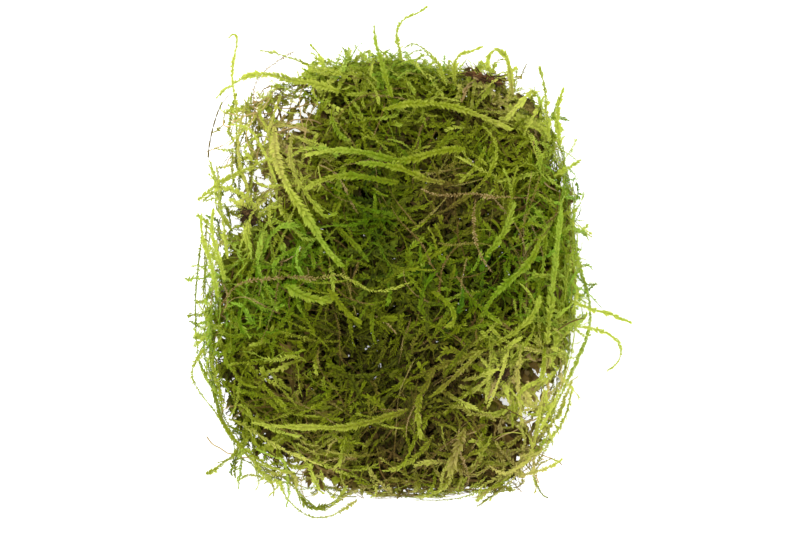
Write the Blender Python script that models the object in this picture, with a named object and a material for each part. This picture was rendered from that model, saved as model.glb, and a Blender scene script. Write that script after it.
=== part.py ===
"""A clump of aquarium moss: one felted mat of shoots, with loose shoots, dead stems, hair
roots and a few bits of bark and leaf litter lying on it and standing out of its edge.

Frame: metres, +Z up. The origin is the middle of the flat face that the mat rests on, +Y runs
along its longer side and +X to its right, seen from above. Tables of points are in millimetres.
"""

import math

import bmesh
import bpy
import numpy as np
from mathutils import Vector, noise
from mathutils.bvhtree import BVHTree

MM = 0.001

# Driving dimensions of the mat, in millimetres.
RIM_HEIGHT = 15.0  # height of the mat's widest line
TOP_HEIGHT = 24.0  # height of the plain part of its top
BASE_ROUND = 2.0  # how far the foot turns in at the resting face
LUMP_SIZE = 7.0  # spacing of the small lumps
LUMP_HEIGHT = 0.9
MAT_SEGMENTS = 72
SIDE_RINGS = 5
TOP_RINGS = 15

GAP = 0.35  # clear space left between a piece and what it lies on
ROUTE_STEP = 1.0  # spacing of the points at which a shoot is laid over the mat
RING_STEP = 2.7  # spacing of the rings of a shoot's tube
TIP_SHARE = 0.45  # a shoot's radius at its ends, as a share of its full radius

# The mat's widest line, anticlockwise: x, y, and how far the foot reaches towards it from the
# middle. The corners hang over, and the rest is nearly upright.
RIM = [
    (46.5, 2, 0.90), (46.0, 14, 0.90), (44.5, 25, 0.90), (41.5, 36, 0.86), (35, 43.5, 0.84),
    (26, 49.5, 0.88), (14, 52.5, 0.90), (2, 54.5, 0.90), (-10, 54.5, 0.88), (-22, 51, 0.84),
    (-34, 48, 0.70), (-41, 40, 0.62), (-43, 29, 0.62), (-45, 18, 0.66), (-45, 5, 0.80),
    (-45.5, -8, 0.84), (-46.8, -18, 0.82), (-44, -31, 0.76), (-39.5, -42, 0.70),
    (-30, -51.5, 0.72), (-18, -54.8, 0.84), (0, -55.2, 0.90), (18, -55.2, 0.90),
    (30, -54, 0.80), (37.5, -47.5, 0.72), (41.5, -35, 0.80), (44.5, -20, 0.88),
    (46.2, -9, 0.90),
]  # fmt: skip

# Swellings and hollows of the top: x, y, height and radius.
SWELLS = [
    (-26, 20, 3.5, 10), (0, 44, 3.0, 12), (34, 24, 2.5, 11), (-34, -6, 3.0, 9),
    (14, 8, 2.0, 10), (28, -14, 2.5, 9), (-18, -42, 2.0, 11), (10, -46, 2.0, 12),
    (-6, -20, -5.5, 8), (-17, -27, -4.5, 5), (-17, 6, -3.0, 5), (25, -25, -3.5, 5),
    (-4, 48, -3.0, 4), (-12, 37, -2.5, 5), (-37, -23, -4.0, 5), (27, 1, -2.5, 4),
    (-38, 36, -4.5, 12), (-36, -45, -4.0, 10), (36, -46, -4.5, 10),
]  # fmt: skip

# Loose shoots: radius and the points of each, x, y, and a height where it is clear of the mat.
# Without a height a point lies on whatever is below it.
LIVE_SHOOTS = {
    "shoot_left_bundle": (0.9, [
        (-29, 36), (-28.5, 29), (-27, 23.5), (-24.5, 18.5), (-21.5, 14), (-18.5, 9.5),
        (-16, 5.5), (-12.5, 1.2)]),
    "shoot_left_bundle_mate": (0.7, [
        (-24.5, 34), (-25, 28), (-24, 23.5), (-21, 18.5), (-17.5, 14), (-15.5, 12.6), (-14, 14)]),
    "shoot_top_left": (0.8, [
        (-43.5, 44, 17), (-41, 46, 20), (-37, 47.5, 22), (-32, 48.2), (-26, 47.8), (-20, 46.8),
        (-13, 44.5)]),
    "shoot_top_left_upper": (0.7, [
        (-32.5, 55.5, 20), (-29.5, 54, 22), (-25, 52.3, 23), (-20, 51), (-15, 49.8), (-10, 47.5)]),
    "shoot_top_left_hook": (0.45, [
        (-40.3, 58, 24), (-39.4, 59.4, 25), (-38.2, 59, 25), (-38.2, 56, 24.5),
        (-39, 52.5, 24), (-39.3, 48, 24), (-38.6, 42.5), (-38, 38)]),
    "shoot_left_star": (0.65, [
        (-48, 18.5, 16), (-45, 20.3, 18), (-41.5, 22.8), (-37, 24.6), (-32.5, 26), (-28.5, 27)]),
    "shoot_left_upright": (0.7, [
        (-45.3, 28.8, 16), (-43.9, 25, 19), (-42.6, 21), (-42.2, 17), (-41.3, 12.5), (-40.6, 8),
        (-40, 3)]),
    "shoot_left_tall": (0.6, [
        (-47.2, 15.2, 15), (-47, 11, 16), (-46, 7, 18), (-44.5, 3), (-43.3, -2), (-42.2, -7)]),
    "shoot_left_tall_mate": (0.6, [
        (-43.6, 15, 21), (-44.2, 11), (-43.4, 7), (-42, 2.5), (-40.8, -2.5)]),
    "shoot_left_fan": (1.0, [(-26, -3.8), (-23, -5.6), (-19, -7.2), (-15.2, -7.2)]),
    "shoot_left_short": (0.6, [(-22.8, -8.6), (-21.2, -11.4), (-19.7, -14), (-18.6, -16)]),
    "shoot_centre_left_slant": (0.7, [
        (-15.5, -4.5), (-13, -8), (-10.2, -11), (-7.8, -12.6)]),
    "shoot_top_upright": (0.65, [
        (-4.3, 60.6, 24), (-4.2, 57.5, 26), (-3.4, 54, 27.5), (-2.2, 50.5), (-1.2, 46.5),
        (0, 42.5)]),
    "shoot_top_curl": (0.4, [
        (8.6, 65.6, 26), (6.6, 64, 25.5), (3.6, 63, 25), (1.6, 61.3, 25), (1, 58.4, 25.5),
        (1.6, 55.5, 26.5), (2.4, 52)]),
    "shoot_top_loop": (0.55, [
        (3, 54.8, 22), (5.2, 56.4, 23), (8, 55.3, 24), (10.4, 53, 25), (12, 50), (13, 46.5)]),
    "shoot_top_right_branch": (0.5, [
        (22.2, 56, 23), (20.4, 54.9, 23.5), (17.6, 54.4, 24), (15.6, 53, 25), (15.2, 50),
        (15.6, 46)]),
    "shoot_arch": (0.65, [
        (23.4, 50.8, 22), (23.9, 53.6, 24.5), (25.4, 55, 26), (27.2, 54.3, 26.5),
        (28.5, 51.4, 26), (29.2, 47.5, 25), (29.6, 43.5)]),
    "shoot_right_tall": (0.8, [
        (36.5, 51.4, 20), (37.3, 47.6, 21.5), (37.8, 44, 22), (37.6, 40.5, 22.5), (38, 36.5),
        (38.6, 32)]),
    "shoot_right_tall_mate": (0.65, [
        (42.4, 46.2, 18), (41.3, 43, 20), (40.7, 39.5, 21), (40.9, 35.5, 21.5), (41.4, 31)]),
    "shoot_right_spur": (0.6, [(46.6, 28.2, 18), (44.6, 26.6, 20), (42.6, 25.2), (39.6, 23.4)]),
    "shoot_top_long_arc": (0.75, [
        (-2.5, 39.4), (3, 40.8), (9, 41.2), (14.5, 40.6), (19.5, 39.2), (24.5, 37), (29, 35)]),
    "shoot_centre_arc": (0.8, [
        (-20.5, 28.4), (-14, 29.6), (-8, 29.4), (-2, 27.8), (3, 27), (8, 28.4), (13, 29.8),
        (18, 30)]),
    "shoot_centre_arc_mate": (0.7, [
        (-8.5, 26.4), (-3.5, 26), (1, 25.2), (5, 23.8), (9, 22.2), (13, 21.6)]),
    "shoot_centre_low_arc": (0.75, [
        (-20.5, 20), (-17, 21.8), (-13, 23.2), (-8, 23.2), (-3, 22.4), (1.5, 21.6)]),
    "shoot_centre_tip": (0.65, [(-14.5, 20.4), (-11, 18.4), (-7.8, 15.8), (-3.6, 14.4)]),
    "shoot_right_broad": (0.85, [
        (29.6, 16), (28.2, 11), (25.4, 6.4), (22.6, 3.2)]),
    "shoot_right_slant": (0.75, [
        (36.4, 8.5), (34.2, 3.2), (31, -0.6), (27.4, -3.6), (24.2, -7.2), (22, -11)]),
    "shoot_right_upright": (0.8, [
        (41.4, 15), (40.6, 9), (39.9, 3), (39.2, -3), (38.5, -8.5), (38, -13.5), (37.6, -18)]),
    "shoot_right_low_arc": (0.7, [
        (36, -6.5), (34.6, -10.4), (31.4, -14), (27.6, -16.6), (23.4, -18.6)]),
    "shoot_right_low_slant": (0.65, [(17.6, -5.6), (20.4, -8.4), (23.4, -11), (26.4, -13.2)]),
    "shoot_right_stray": (0.6, [
        (44, -7), (47.5, -8.4, 19), (50.5, -9, 18.5), (53.8, -9.7, 17.5), (56.6, -10.9, 16),
        (58.6, -11.5, 14.5)]),
    "shoot_right_hook": (0.55, [
        (45, -13.2), (48.6, -13.4, 17), (52, -14, 16.5), (55, -15.6, 15.5), (56.6, -18.2, 14),
        (55.8, -21, 12.5), (53.4, -23, 11.5)]),
    "shoot_left_elbow": (0.45, [
        (-45.5, -18.5), (-48, -21.4, 16), (-49.3, -24.8, 15), (-47.4, -28.4, 14.5),
        (-44.4, -32.4, 14.5)]),
    "shoot_low_left_trail": (0.55, [
        (-27, -52.6), (-24.4, -56.2, 14), (-20.4, -59, 12), (-16, -59.2, 11.5), (-12, -57.6, 13),
        (-8.4, -55.4, 15.5)]),
    "shoot_low_long": (0.7, [
        (-33.5, -37), (-27, -38), (-20, -38.2), (-12.5, -38.4), (-6, -37.2), (0, -35.4), (4, -34)]),
    "shoot_low_spike": (0.7, [
        (10.4, -23.6), (8.6, -27.4), (6.6, -31), (6.2, -35.4), (6.9, -40.6)]),
    "shoot_low_leafy": (1.1, [(17.6, -38.4), (16.2, -42), (14.8, -45.8), (13.8, -49.6)]),
    "shoot_low_fork": (0.55, [(21.6, -19.6), (17.6, -23.6), (13.2, -27.8), (9.2, -31)]),
    "shoot_low_fork_mate": (0.5, [(25.6, -24.4), (21, -26), (16.8, -27)]),
    "shoot_centre_bow": (0.6, [
        (9.6, -5.2), (12.6, -7), (15, -10), (15.4, -12.4), (13.2, -13.8)]),
    "shoot_low_right_tip": (0.55, [
        (41.3, -45.4, 15), (38.8, -47.2, 16), (35.2, -48.4, 17), (30.6, -49.8)]),
    "shoot_low_right_tip_mate": (0.5, [
        (38, -41.4, 20), (37, -43.2, 20), (34.8, -44.4), (31, -45)]),
}  # fmt: skip

DEAD_STEMS = {
    "dead_stem_long": (0.55, [
        (-41.5, -8.5), (-38.6, -4.4), (-35, -2.8), (-29.5, -2.2), (-24, -1.6), (-18, -2),
        (-13.5, -0.8), (-9.5, -2.4), (-5, -5), (0, -4.4), (4, -3)]),
    "dead_stem_top_left": (0.4, [
        (-24, 54.2, 26), (-27.2, 52.4, 26.5), (-30.4, 50, 26.5), (-33.2, 47.2, 26), (-34.2, 43.4),
        (-33.6, 39.6), (-31.8, 36.8)]),
    "dead_stem_right": (0.45, [
        (20.4, 17.4), (19.8, 12), (20.4, 7), (21.6, 3.4), (24.4, -0.4)]),
    "dead_stem_centre": (0.45, [
        (7.2, 20.2), (9.6, 18.8), (14.4, 18.4), (19, 18.9), (24, 17.9), (29, 18)]),
}  # fmt: skip

HAIR_ROOTS = {
    "hair_root_left": (0.3, [
        (-39.8, 43.6, 22), (-42.4, 41, 20.5), (-44.2, 37, 18.5), (-45.2, 32.5, 17), (-45.4, 29, 16)]),
    "hair_root_right": (0.35, [
        (47.2, -11, 18.5), (45.2, -11.6), (43, -12.6), (40, -14.6)]),
    "hair_root_low": (0.3, [(24.2, -31.2), (28, -33.8), (32.4, -36)]),
}  # fmt: skip

# Bits of litter: x, y and how far each is turned about Z, in degrees.
BARK_PLACE = (22.6, 48.0, -12)
BARK_OUTLINE = [
    (-7.4, 1.8), (-4.6, 0.9), (-2.4, 1.7), (0.6, 2.1), (3.0, 1.5), (4.6, 0.2), (7.6, -0.5),
    (4.4, -1.0), (3.2, -2.1), (0.4, -1.6), (-1.8, -2.2), (-3.4, -0.6)]  # fmt: skip
BARK_THICKNESS = 0.8
LEAF_PLACE = (33.4, 41.4, -48)
LEAF_LENGTH, LEAF_WIDTH, LEAF_THICKNESS = 9.0, 4.2, 0.35
LEAF_CURL = 1.5
CRUMB_PLACE = (26.6, -24.8, 20)
CRUMB_SIZE = (5.4, 4.4, 3.0)
ROOT_KNOT_PLACE = (-35.0, 12.6, 0)
ROOT_KNOT_ARMS = [
    (0.55, (-2.6, -0.9, 0.2), (1.8, 0.4, 0.1)),
    (0.40, (0.2, 0.2, 0.1), (0.9, 4.0, 0.5)),
    (0.40, (0.9, 0.1, 0.0), (2.4, -2.6, 0.0)),
]
ROOT_KNOT_SIDES = 7

LIVE_GREEN = (0.30, 0.46, 0.07, 1.0)
MAT_GREEN = (0.16, 0.25, 0.05, 1.0)
DEAD_TAN = (0.42, 0.28, 0.12, 1.0)
HAIR_BROWN = (0.10, 0.07, 0.04, 1.0)
BARK_BROWN = (0.16, 0.09, 0.04, 1.0)
LEAF_BROWN = (0.13, 0.09, 0.04, 1.0)
CRUMB_BROWN = (0.07, 0.05, 0.035, 1.0)


def material(name, colour, roughness):
    """A plain finish of this colour, made once."""
    made = bpy.data.materials.get(name)
    if made is None:
        made = bpy.data.materials.new(name)
        made.use_nodes = True
        shader = made.node_tree.nodes["Principled BSDF"]
        shader.inputs["Base Color"].default_value = colour
        shader.inputs["Roughness"].default_value = roughness
        shader.inputs["Metallic"].default_value = 0.0
    return made


def add_object(name, data, finish):
    """Links a mesh or curve to the scene under its piece's name."""
    made = bpy.data.objects.new(name, data)
    made.data.materials.append(finish)
    bpy.context.scene.collection.objects.link(made)
    return made


def smooth_line(points, count, closed=False):
    """A Catmull-Rom curve through the points, sampled count times evenly along its length."""
    points = np.asarray(points, float)
    if closed:
        ring = np.vstack([points[-1], points, points[:2]])
    else:
        ring = np.vstack([2 * points[0] - points[1], points, 2 * points[-1] - points[-2]])
    before, start, end, after = ring[:-3], ring[1:-2], ring[2:-1], ring[3:]
    fine = []
    for t in np.linspace(0, 1, 24, endpoint=False):
        fine.append(
            0.5
            * (
                2 * start
                + (end - before) * t
                + (2 * before - 5 * start + 4 * end - after) * t**2
                + (3 * start - before - 3 * end + after) * t**3
            )
        )
    line = np.stack(fine, 1).reshape(-1, points.shape[1])
    line = np.vstack([line, points[0] if closed else points[-1]])
    along = np.concatenate([[0], np.cumsum(np.linalg.norm(np.diff(line, axis=0), axis=1))])
    at = np.linspace(0, along[-1], count, endpoint=not closed)
    return np.stack([np.interp(at, along, column) for column in line.T], 1)


def lump(x, y, z):
    """Small lumps, from -1 to 1, the same on each run."""
    return noise.noise(Vector((x, y, z)) / LUMP_SIZE)


def top_height(x, y):
    """Height of the mat's top away from its rim: the plain height, the swells and the lumps."""
    height = TOP_HEIGHT + LUMP_HEIGHT * lump(x, y, 0)
    for swell_x, swell_y, rise, radius in SWELLS:
        away = ((x - swell_x) ** 2 + (y - swell_y) ** 2) / radius**2
        height += rise * math.exp(-away)
    return height


def mat_rings():
    """The mat's rings of points from the foot up over the rim to near the middle of the top."""
    rim = smooth_line(RIM, MAT_SEGMENTS, closed=True)
    rings = []
    for step in range(SIDE_RINGS + 1):
        rise = step / (SIDE_RINGS + 1)
        ring = []
        for x, y, foot in rim:
            reach = foot + (1 - foot) * math.sin(rise * math.pi / 2)
            reach += 0.02 * rise * lump(x, y, RIM_HEIGHT * rise)
            inset = BASE_ROUND / math.hypot(x, y) if step == 0 else 0
            ring.append((x * (reach - inset), y * (reach - inset), RIM_HEIGHT * rise))
        rings.append(ring)
    for step in range(TOP_RINGS):
        reach = math.cos(step / TOP_RINGS * math.pi / 2)
        crown = (1 - reach**8) ** 0.5
        ring = []
        for x, y, _ in rim:
            x, y = x * reach, y * reach
            ring.append((x, y, RIM_HEIGHT + (top_height(x, y) - RIM_HEIGHT) * crown))
        rings.append(ring)
    return rings


def build_mat():
    """The felted body of the clump: rings bridged into one closed skin, flat where it rests."""
    skin = bmesh.new()
    loops = []
    for ring in mat_rings():
        loops.append([skin.verts.new(Vector(point) * MM) for point in ring])
    skin.faces.new(reversed(loops[0]))
    for lower, upper in zip(loops, loops[1:]):
        for i, corner in enumerate(lower):
            j = (i + 1) % MAT_SEGMENTS
            skin.faces.new((corner, lower[j], upper[j], upper[i]))
    middle = skin.verts.new((0, 0, top_height(0, 0) * MM))
    for i, corner in enumerate(loops[-1]):
        skin.faces.new((corner, loops[-1][(i + 1) % MAT_SEGMENTS], middle))
    bmesh.ops.recalc_face_normals(skin, faces=skin.faces)
    bmesh.ops.triangulate(skin, faces=[face for face in skin.faces if len(face.verts) == 4])
    data = bpy.data.meshes.new("moss_mat")
    skin.to_mesh(data)
    skin.free()
    data.shade_smooth()
    return add_object("moss_mat", data, material("matted moss", MAT_GREEN, 0.75))


class Ground:
    """What lies below a new piece: the surfaces of the pieces already laid."""

    def __init__(self):
        self.trees = []

    def add(self, piece):
        bpy.context.view_layer.update()
        graph = bpy.context.evaluated_depsgraph_get()
        shape = bmesh.new()
        shape.from_mesh(piece.evaluated_get(graph).to_mesh())
        shape.transform(piece.matrix_world)
        self.trees.append(BVHTree.FromBMesh(shape))
        shape.free()

    def height(self, x, y):
        """Height of the highest surface at a point, in millimetres, or minus infinity."""
        above = Vector((x * MM, y * MM, 0.2))
        hits = [tree.ray_cast(above, Vector((0, 0, -1)))[0] for tree in self.trees]
        return max([hit.z / MM for hit in hits if hit is not None], default=-math.inf)

    def highest_near(self, x, y, radius):
        """Height of the highest surface within radius of a point."""
        found = self.height(x, y)
        for share in (0.5, 1.0):
            for turn in np.linspace(0, 2 * math.pi, 8, endpoint=False):
                away = radius * share
                near = self.height(x + away * math.cos(turn), y + away * math.sin(turn))
                found = max(found, near)
        return found


def laid_route(ground, points, radius):
    """A shoot's line: over what it lies on, and at its stated heights where it is clear."""
    flat = np.array([point[:2] for point in points], float)
    length = np.linalg.norm(np.diff(flat, axis=0), axis=1).sum()
    count = int(length / ROUTE_STEP) + 2
    line = smooth_line(flat, count)
    rest = np.array([ground.highest_near(x, y, radius + 0.9) for x, y in line]) + radius + GAP
    along = np.linspace(0, 1, count)
    stops = np.concatenate([[0], np.cumsum(np.linalg.norm(np.diff(flat, axis=0), axis=1))])
    stops /= stops[-1]
    heights = []
    for stop, point in zip(stops, points):
        near = rest[np.argmin(abs(along - stop))]
        heights.append(max(point[2], near) if len(point) == 3 else near)
    wanted = np.maximum(rest, np.interp(along, stops, heights))
    # Spreading the highest points and then averaging keeps the line smooth and never too low.
    reach = 2
    padded = np.pad(wanted, reach, mode="edge")
    raised = np.max([padded[i : i + count] for i in range(2 * reach + 1)], axis=0)
    padded = np.pad(raised, reach, mode="edge")
    smoothed = np.mean([padded[i : i + count] for i in range(2 * reach + 1)], axis=0)
    return np.column_stack([line, smoothed])


def build_shoot(ground, name, radius, points, finish):
    """A shoot as a tapered tube of its outer size, laid on what is already there."""
    route = laid_route(ground, points, radius)
    length = np.linalg.norm(np.diff(route, axis=0), axis=1).sum()
    line = smooth_line(route, max(5, round(length / RING_STEP) + 1))
    data = bpy.data.curves.new(name, "CURVE")
    data.dimensions = "3D"
    data.bevel_depth = radius * MM
    data.bevel_resolution = 1
    data.use_fill_caps = True
    spline = data.splines.new("POLY")
    spline.points.add(len(line) - 1)
    for i, place in enumerate(line):
        from_end = min(i, len(line) - 1 - i)
        spline.points[i].co = (*(place * MM), 1)
        spline.points[i].radius = TIP_SHARE + (1 - TIP_SHARE) * min(1, from_end / 2)
    made = add_object(name, data, finish)
    ground.add(made)
    return made


def set_down(ground, made, place, reach):
    """Puts a bit of litter down at its place, just clear of everything within its reach."""
    x, y, turn = place
    made.rotation_euler.z = math.radians(turn)
    bpy.context.view_layer.update()
    lowest = min((corner[2] for corner in made.bound_box)) / MM
    height = ground.highest_near(x, y, reach) + GAP - lowest
    made.location = Vector((x, y, height)) * MM
    ground.add(made)
    return made


def build_bark(ground):
    """A splintered flake of bark: a flat outline given thickness, with a rough upper face."""
    flake = bmesh.new()
    loop = [flake.verts.new(Vector((x, y, 0)) * MM) for x, y in BARK_OUTLINE]
    face = flake.faces.new(loop)
    raised = bmesh.ops.extrude_face_region(flake, geom=[face])["geom"]
    for corner in [part for part in raised if isinstance(part, bmesh.types.BMVert)]:
        rough = 0.3 * lump(corner.co.x / MM * 4, corner.co.y / MM * 4, 5)
        corner.co.z += (BARK_THICKNESS + rough) * MM
    bmesh.ops.triangulate(flake, faces=flake.faces)
    bmesh.ops.recalc_face_normals(flake, faces=flake.faces)
    data = bpy.data.meshes.new("bark_flake")
    flake.to_mesh(data)
    flake.free()
    made = add_object("bark_flake", data, material("bark", BARK_BROWN, 0.85))
    return set_down(ground, made, BARK_PLACE, 7.0)


def build_leaf(ground):
    """A dead leaf, pointed at both ends and curled about its length, given thickness."""
    rows, columns = 9, 5
    leaf = bmesh.new()
    grid = []
    for i in range(rows):
        along = i / (rows - 1)
        half = LEAF_WIDTH / 2 * (0.12 + math.sin(math.pi * along) ** 0.8)
        row = []
        for j in range(columns):
            across = 2 * j / (columns - 1) - 1
            bend = LEAF_CURL * across**2 + 0.8 * math.sin(math.pi * along)
            point = Vector((LEAF_LENGTH * (along - 0.5), half * across, bend))
            row.append(leaf.verts.new(point * MM))
        grid.append(row)
    for lower, upper in zip(grid, grid[1:]):
        for j in range(columns - 1):
            leaf.faces.new((lower[j], upper[j], upper[j + 1], lower[j + 1]))
    bmesh.ops.recalc_face_normals(leaf, faces=leaf.faces)
    data = bpy.data.meshes.new("dead_leaf")
    leaf.to_mesh(data)
    leaf.free()
    made = add_object("dead_leaf", data, material("leaf litter", LEAF_BROWN, 0.7))
    wall = made.modifiers.new("thickness", "SOLIDIFY")
    wall.thickness = LEAF_THICKNESS * MM
    return set_down(ground, made, LEAF_PLACE, 3.4)


def build_crumb(ground):
    """A crumb of peat: a lumpy ball."""
    ball = bmesh.new()
    bmesh.ops.create_icosphere(ball, subdivisions=2, radius=0.5)
    for corner in ball.verts:
        x, y, z = corner.co
        swell = 1 + 0.25 * lump(x * 20, y * 20, z * 20)
        corner.co = Vector(np.multiply((x, y, z), CRUMB_SIZE)) * swell * MM
    data = bpy.data.meshes.new("peat_crumb")
    ball.to_mesh(data)
    ball.free()
    made = add_object("peat_crumb", data, material("peat", CRUMB_BROWN, 0.9))
    return set_down(ground, made, CRUMB_PLACE, 2.8)


def build_arm(radius, start, end):
    """One tapered arm of the root knot, for the union."""
    start, end = Vector(start) * MM, Vector(end) * MM
    arm = bmesh.new()
    bmesh.ops.create_cone(
        arm, cap_ends=True, segments=ROOT_KNOT_SIDES,
        radius1=radius * MM, radius2=radius * MM * 0.6, depth=(end - start).length,
    )  # fmt: skip
    data = bpy.data.meshes.new("root_arm")
    arm.to_mesh(data)
    arm.free()
    made = bpy.data.objects.new("root_arm", data)
    made.rotation_mode = "QUATERNION"
    made.rotation_quaternion = (end - start).to_track_quat("Z", "Y")
    made.location = (start + end) / 2
    bpy.context.scene.collection.objects.link(made)
    return made


def build_root_knot(ground):
    """A dark knot of roots: three tapered arms joined where they meet."""
    arms = [build_arm(*arm) for arm in ROOT_KNOT_ARMS]
    for arm in arms[1:]:
        arm.hide_render = True
        arm.display_type = "WIRE"
        join = arms[0].modifiers.new("join", "BOOLEAN")
        join.operation = "UNION"
        join.object = arm
    bpy.context.view_layer.update()
    graph = bpy.context.evaluated_depsgraph_get()
    data = bpy.data.meshes.new_from_object(arms[0].evaluated_get(graph))
    data.transform(arms[0].matrix_world)
    for arm in arms:
        bpy.data.objects.remove(arm)
    made = add_object("root_knot", data, material("roots", HAIR_BROWN, 0.6))
    return set_down(ground, made, ROOT_KNOT_PLACE, 4.6)


def main():
    for thing in list(bpy.data.objects):
        bpy.data.objects.remove(thing)
    ground = Ground()
    ground.add(build_mat())
    build_bark(ground)
    build_leaf(ground)
    build_crumb(ground)
    build_root_knot(ground)
    kinds = (
        (DEAD_STEMS, material("dead stem", DEAD_TAN, 0.7)),
        (LIVE_SHOOTS, material("live moss", LIVE_GREEN, 0.5)),
        (HAIR_ROOTS, material("roots", HAIR_BROWN, 0.6)),
    )
    for shoots, finish in kinds:
        for name, (radius, points) in shoots.items():
            build_shoot(ground, name, radius, points, finish)


main()
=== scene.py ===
"""Dresses a packed clump of aquarium moss: a mat of tangled leafy shoots, the loose shoots, dead
stems and hair roots on it, and its bits of litter, on a pale floor under soft light.

It is laid out as an add-on and run as a script. The CAD frame gives every place: the mat's skin
steers the shoots that are grown over it, and each loose piece follows its own CAD solid. Tables
and array work are in millimetres, and meshes and properties in metres.
"""

import math
from functools import cache
from typing import NamedTuple

import bpy
import numpy as np
from bpy.props import FloatProperty, FloatVectorProperty, IntProperty, PointerProperty
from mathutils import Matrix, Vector


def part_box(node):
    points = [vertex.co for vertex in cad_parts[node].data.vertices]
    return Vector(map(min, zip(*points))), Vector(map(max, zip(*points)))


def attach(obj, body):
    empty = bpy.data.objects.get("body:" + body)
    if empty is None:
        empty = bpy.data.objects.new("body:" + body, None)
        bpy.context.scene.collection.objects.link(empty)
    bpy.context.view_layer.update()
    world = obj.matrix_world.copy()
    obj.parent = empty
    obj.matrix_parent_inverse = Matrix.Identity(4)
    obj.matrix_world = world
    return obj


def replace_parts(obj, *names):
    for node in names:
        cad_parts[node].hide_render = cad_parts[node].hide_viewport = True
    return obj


bl_info = {
    "name": "Moss clump",
    "version": (1, 0, 0),
    "blender": (4, 5, 0),
    "location": "3D View > Sidebar > Moss",
    "description": "Builds a clump of tangled aquarium moss around its CAD frame",
    "category": "Add Mesh",
}

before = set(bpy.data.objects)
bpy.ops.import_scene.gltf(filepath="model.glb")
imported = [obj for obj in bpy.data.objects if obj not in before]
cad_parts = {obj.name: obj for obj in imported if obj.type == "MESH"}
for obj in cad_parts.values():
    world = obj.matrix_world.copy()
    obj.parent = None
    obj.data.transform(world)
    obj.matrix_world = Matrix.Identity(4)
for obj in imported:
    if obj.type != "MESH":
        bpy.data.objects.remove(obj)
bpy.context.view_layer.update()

MM = 0.001
BODY = "root"
COLOUR_MAP = "OFBake"  # the map that holds each point's tone and hue, on moss
LITTER_MAP = "lay"  # the map that holds each point's share along and across, on litter
TUBE_SIDES = 6  # corners in a ring of a CAD tube
FLUFF = 1.15  # how far leaf tips stand out, against the radius of their CAD tube
THINNEST = 0.55  # the least half width of a loose shoot with its leaves, in millimetres
LOWEST = 0.9  # the least height of a growing stem over the resting face, in millimetres
PRESSED_UNDER = 1.2  # the height under which everything is pressed up, in millimetres

# Points along each kind of line.
RUN_POINTS = 24
STRAND_POINTS = 20
SHOOT_POINTS = 30
STEM_POINTS = 40
ROOT_POINTS = 60

# The stage, in metres.
FLOOR_HALF = 3.0
LAMP_SIDES = (0.5, 0.35)
LAMP_PLACE = (-0.22, 0.25, 0.75)
AIM = (0.00195, 0.0011, -0.003)  # where the camera looks, up from x = y = 0 at the mat's top

MAT = "moss_mat"
LIVE = [name for name in sorted(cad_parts) if name.startswith("shoot_")]
DEAD = [name for name in sorted(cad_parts) if name.startswith("dead_stem_")]
HAIRS = [name for name in sorted(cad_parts) if name.startswith("hair_root_")]
LONG_STEM = "dead_stem_long"  # the dead stem whose right end is still green

# Loose shoots whose growing tip is the end nearer the middle of the mat.
TIPS_INWARD = {
    "shoot_left_bundle", "shoot_left_bundle_mate", "shoot_left_star", "shoot_left_fan",
    "shoot_left_short", "shoot_centre_left_slant", "shoot_centre_tip", "shoot_right_slant",
}  # fmt: skip

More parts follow.
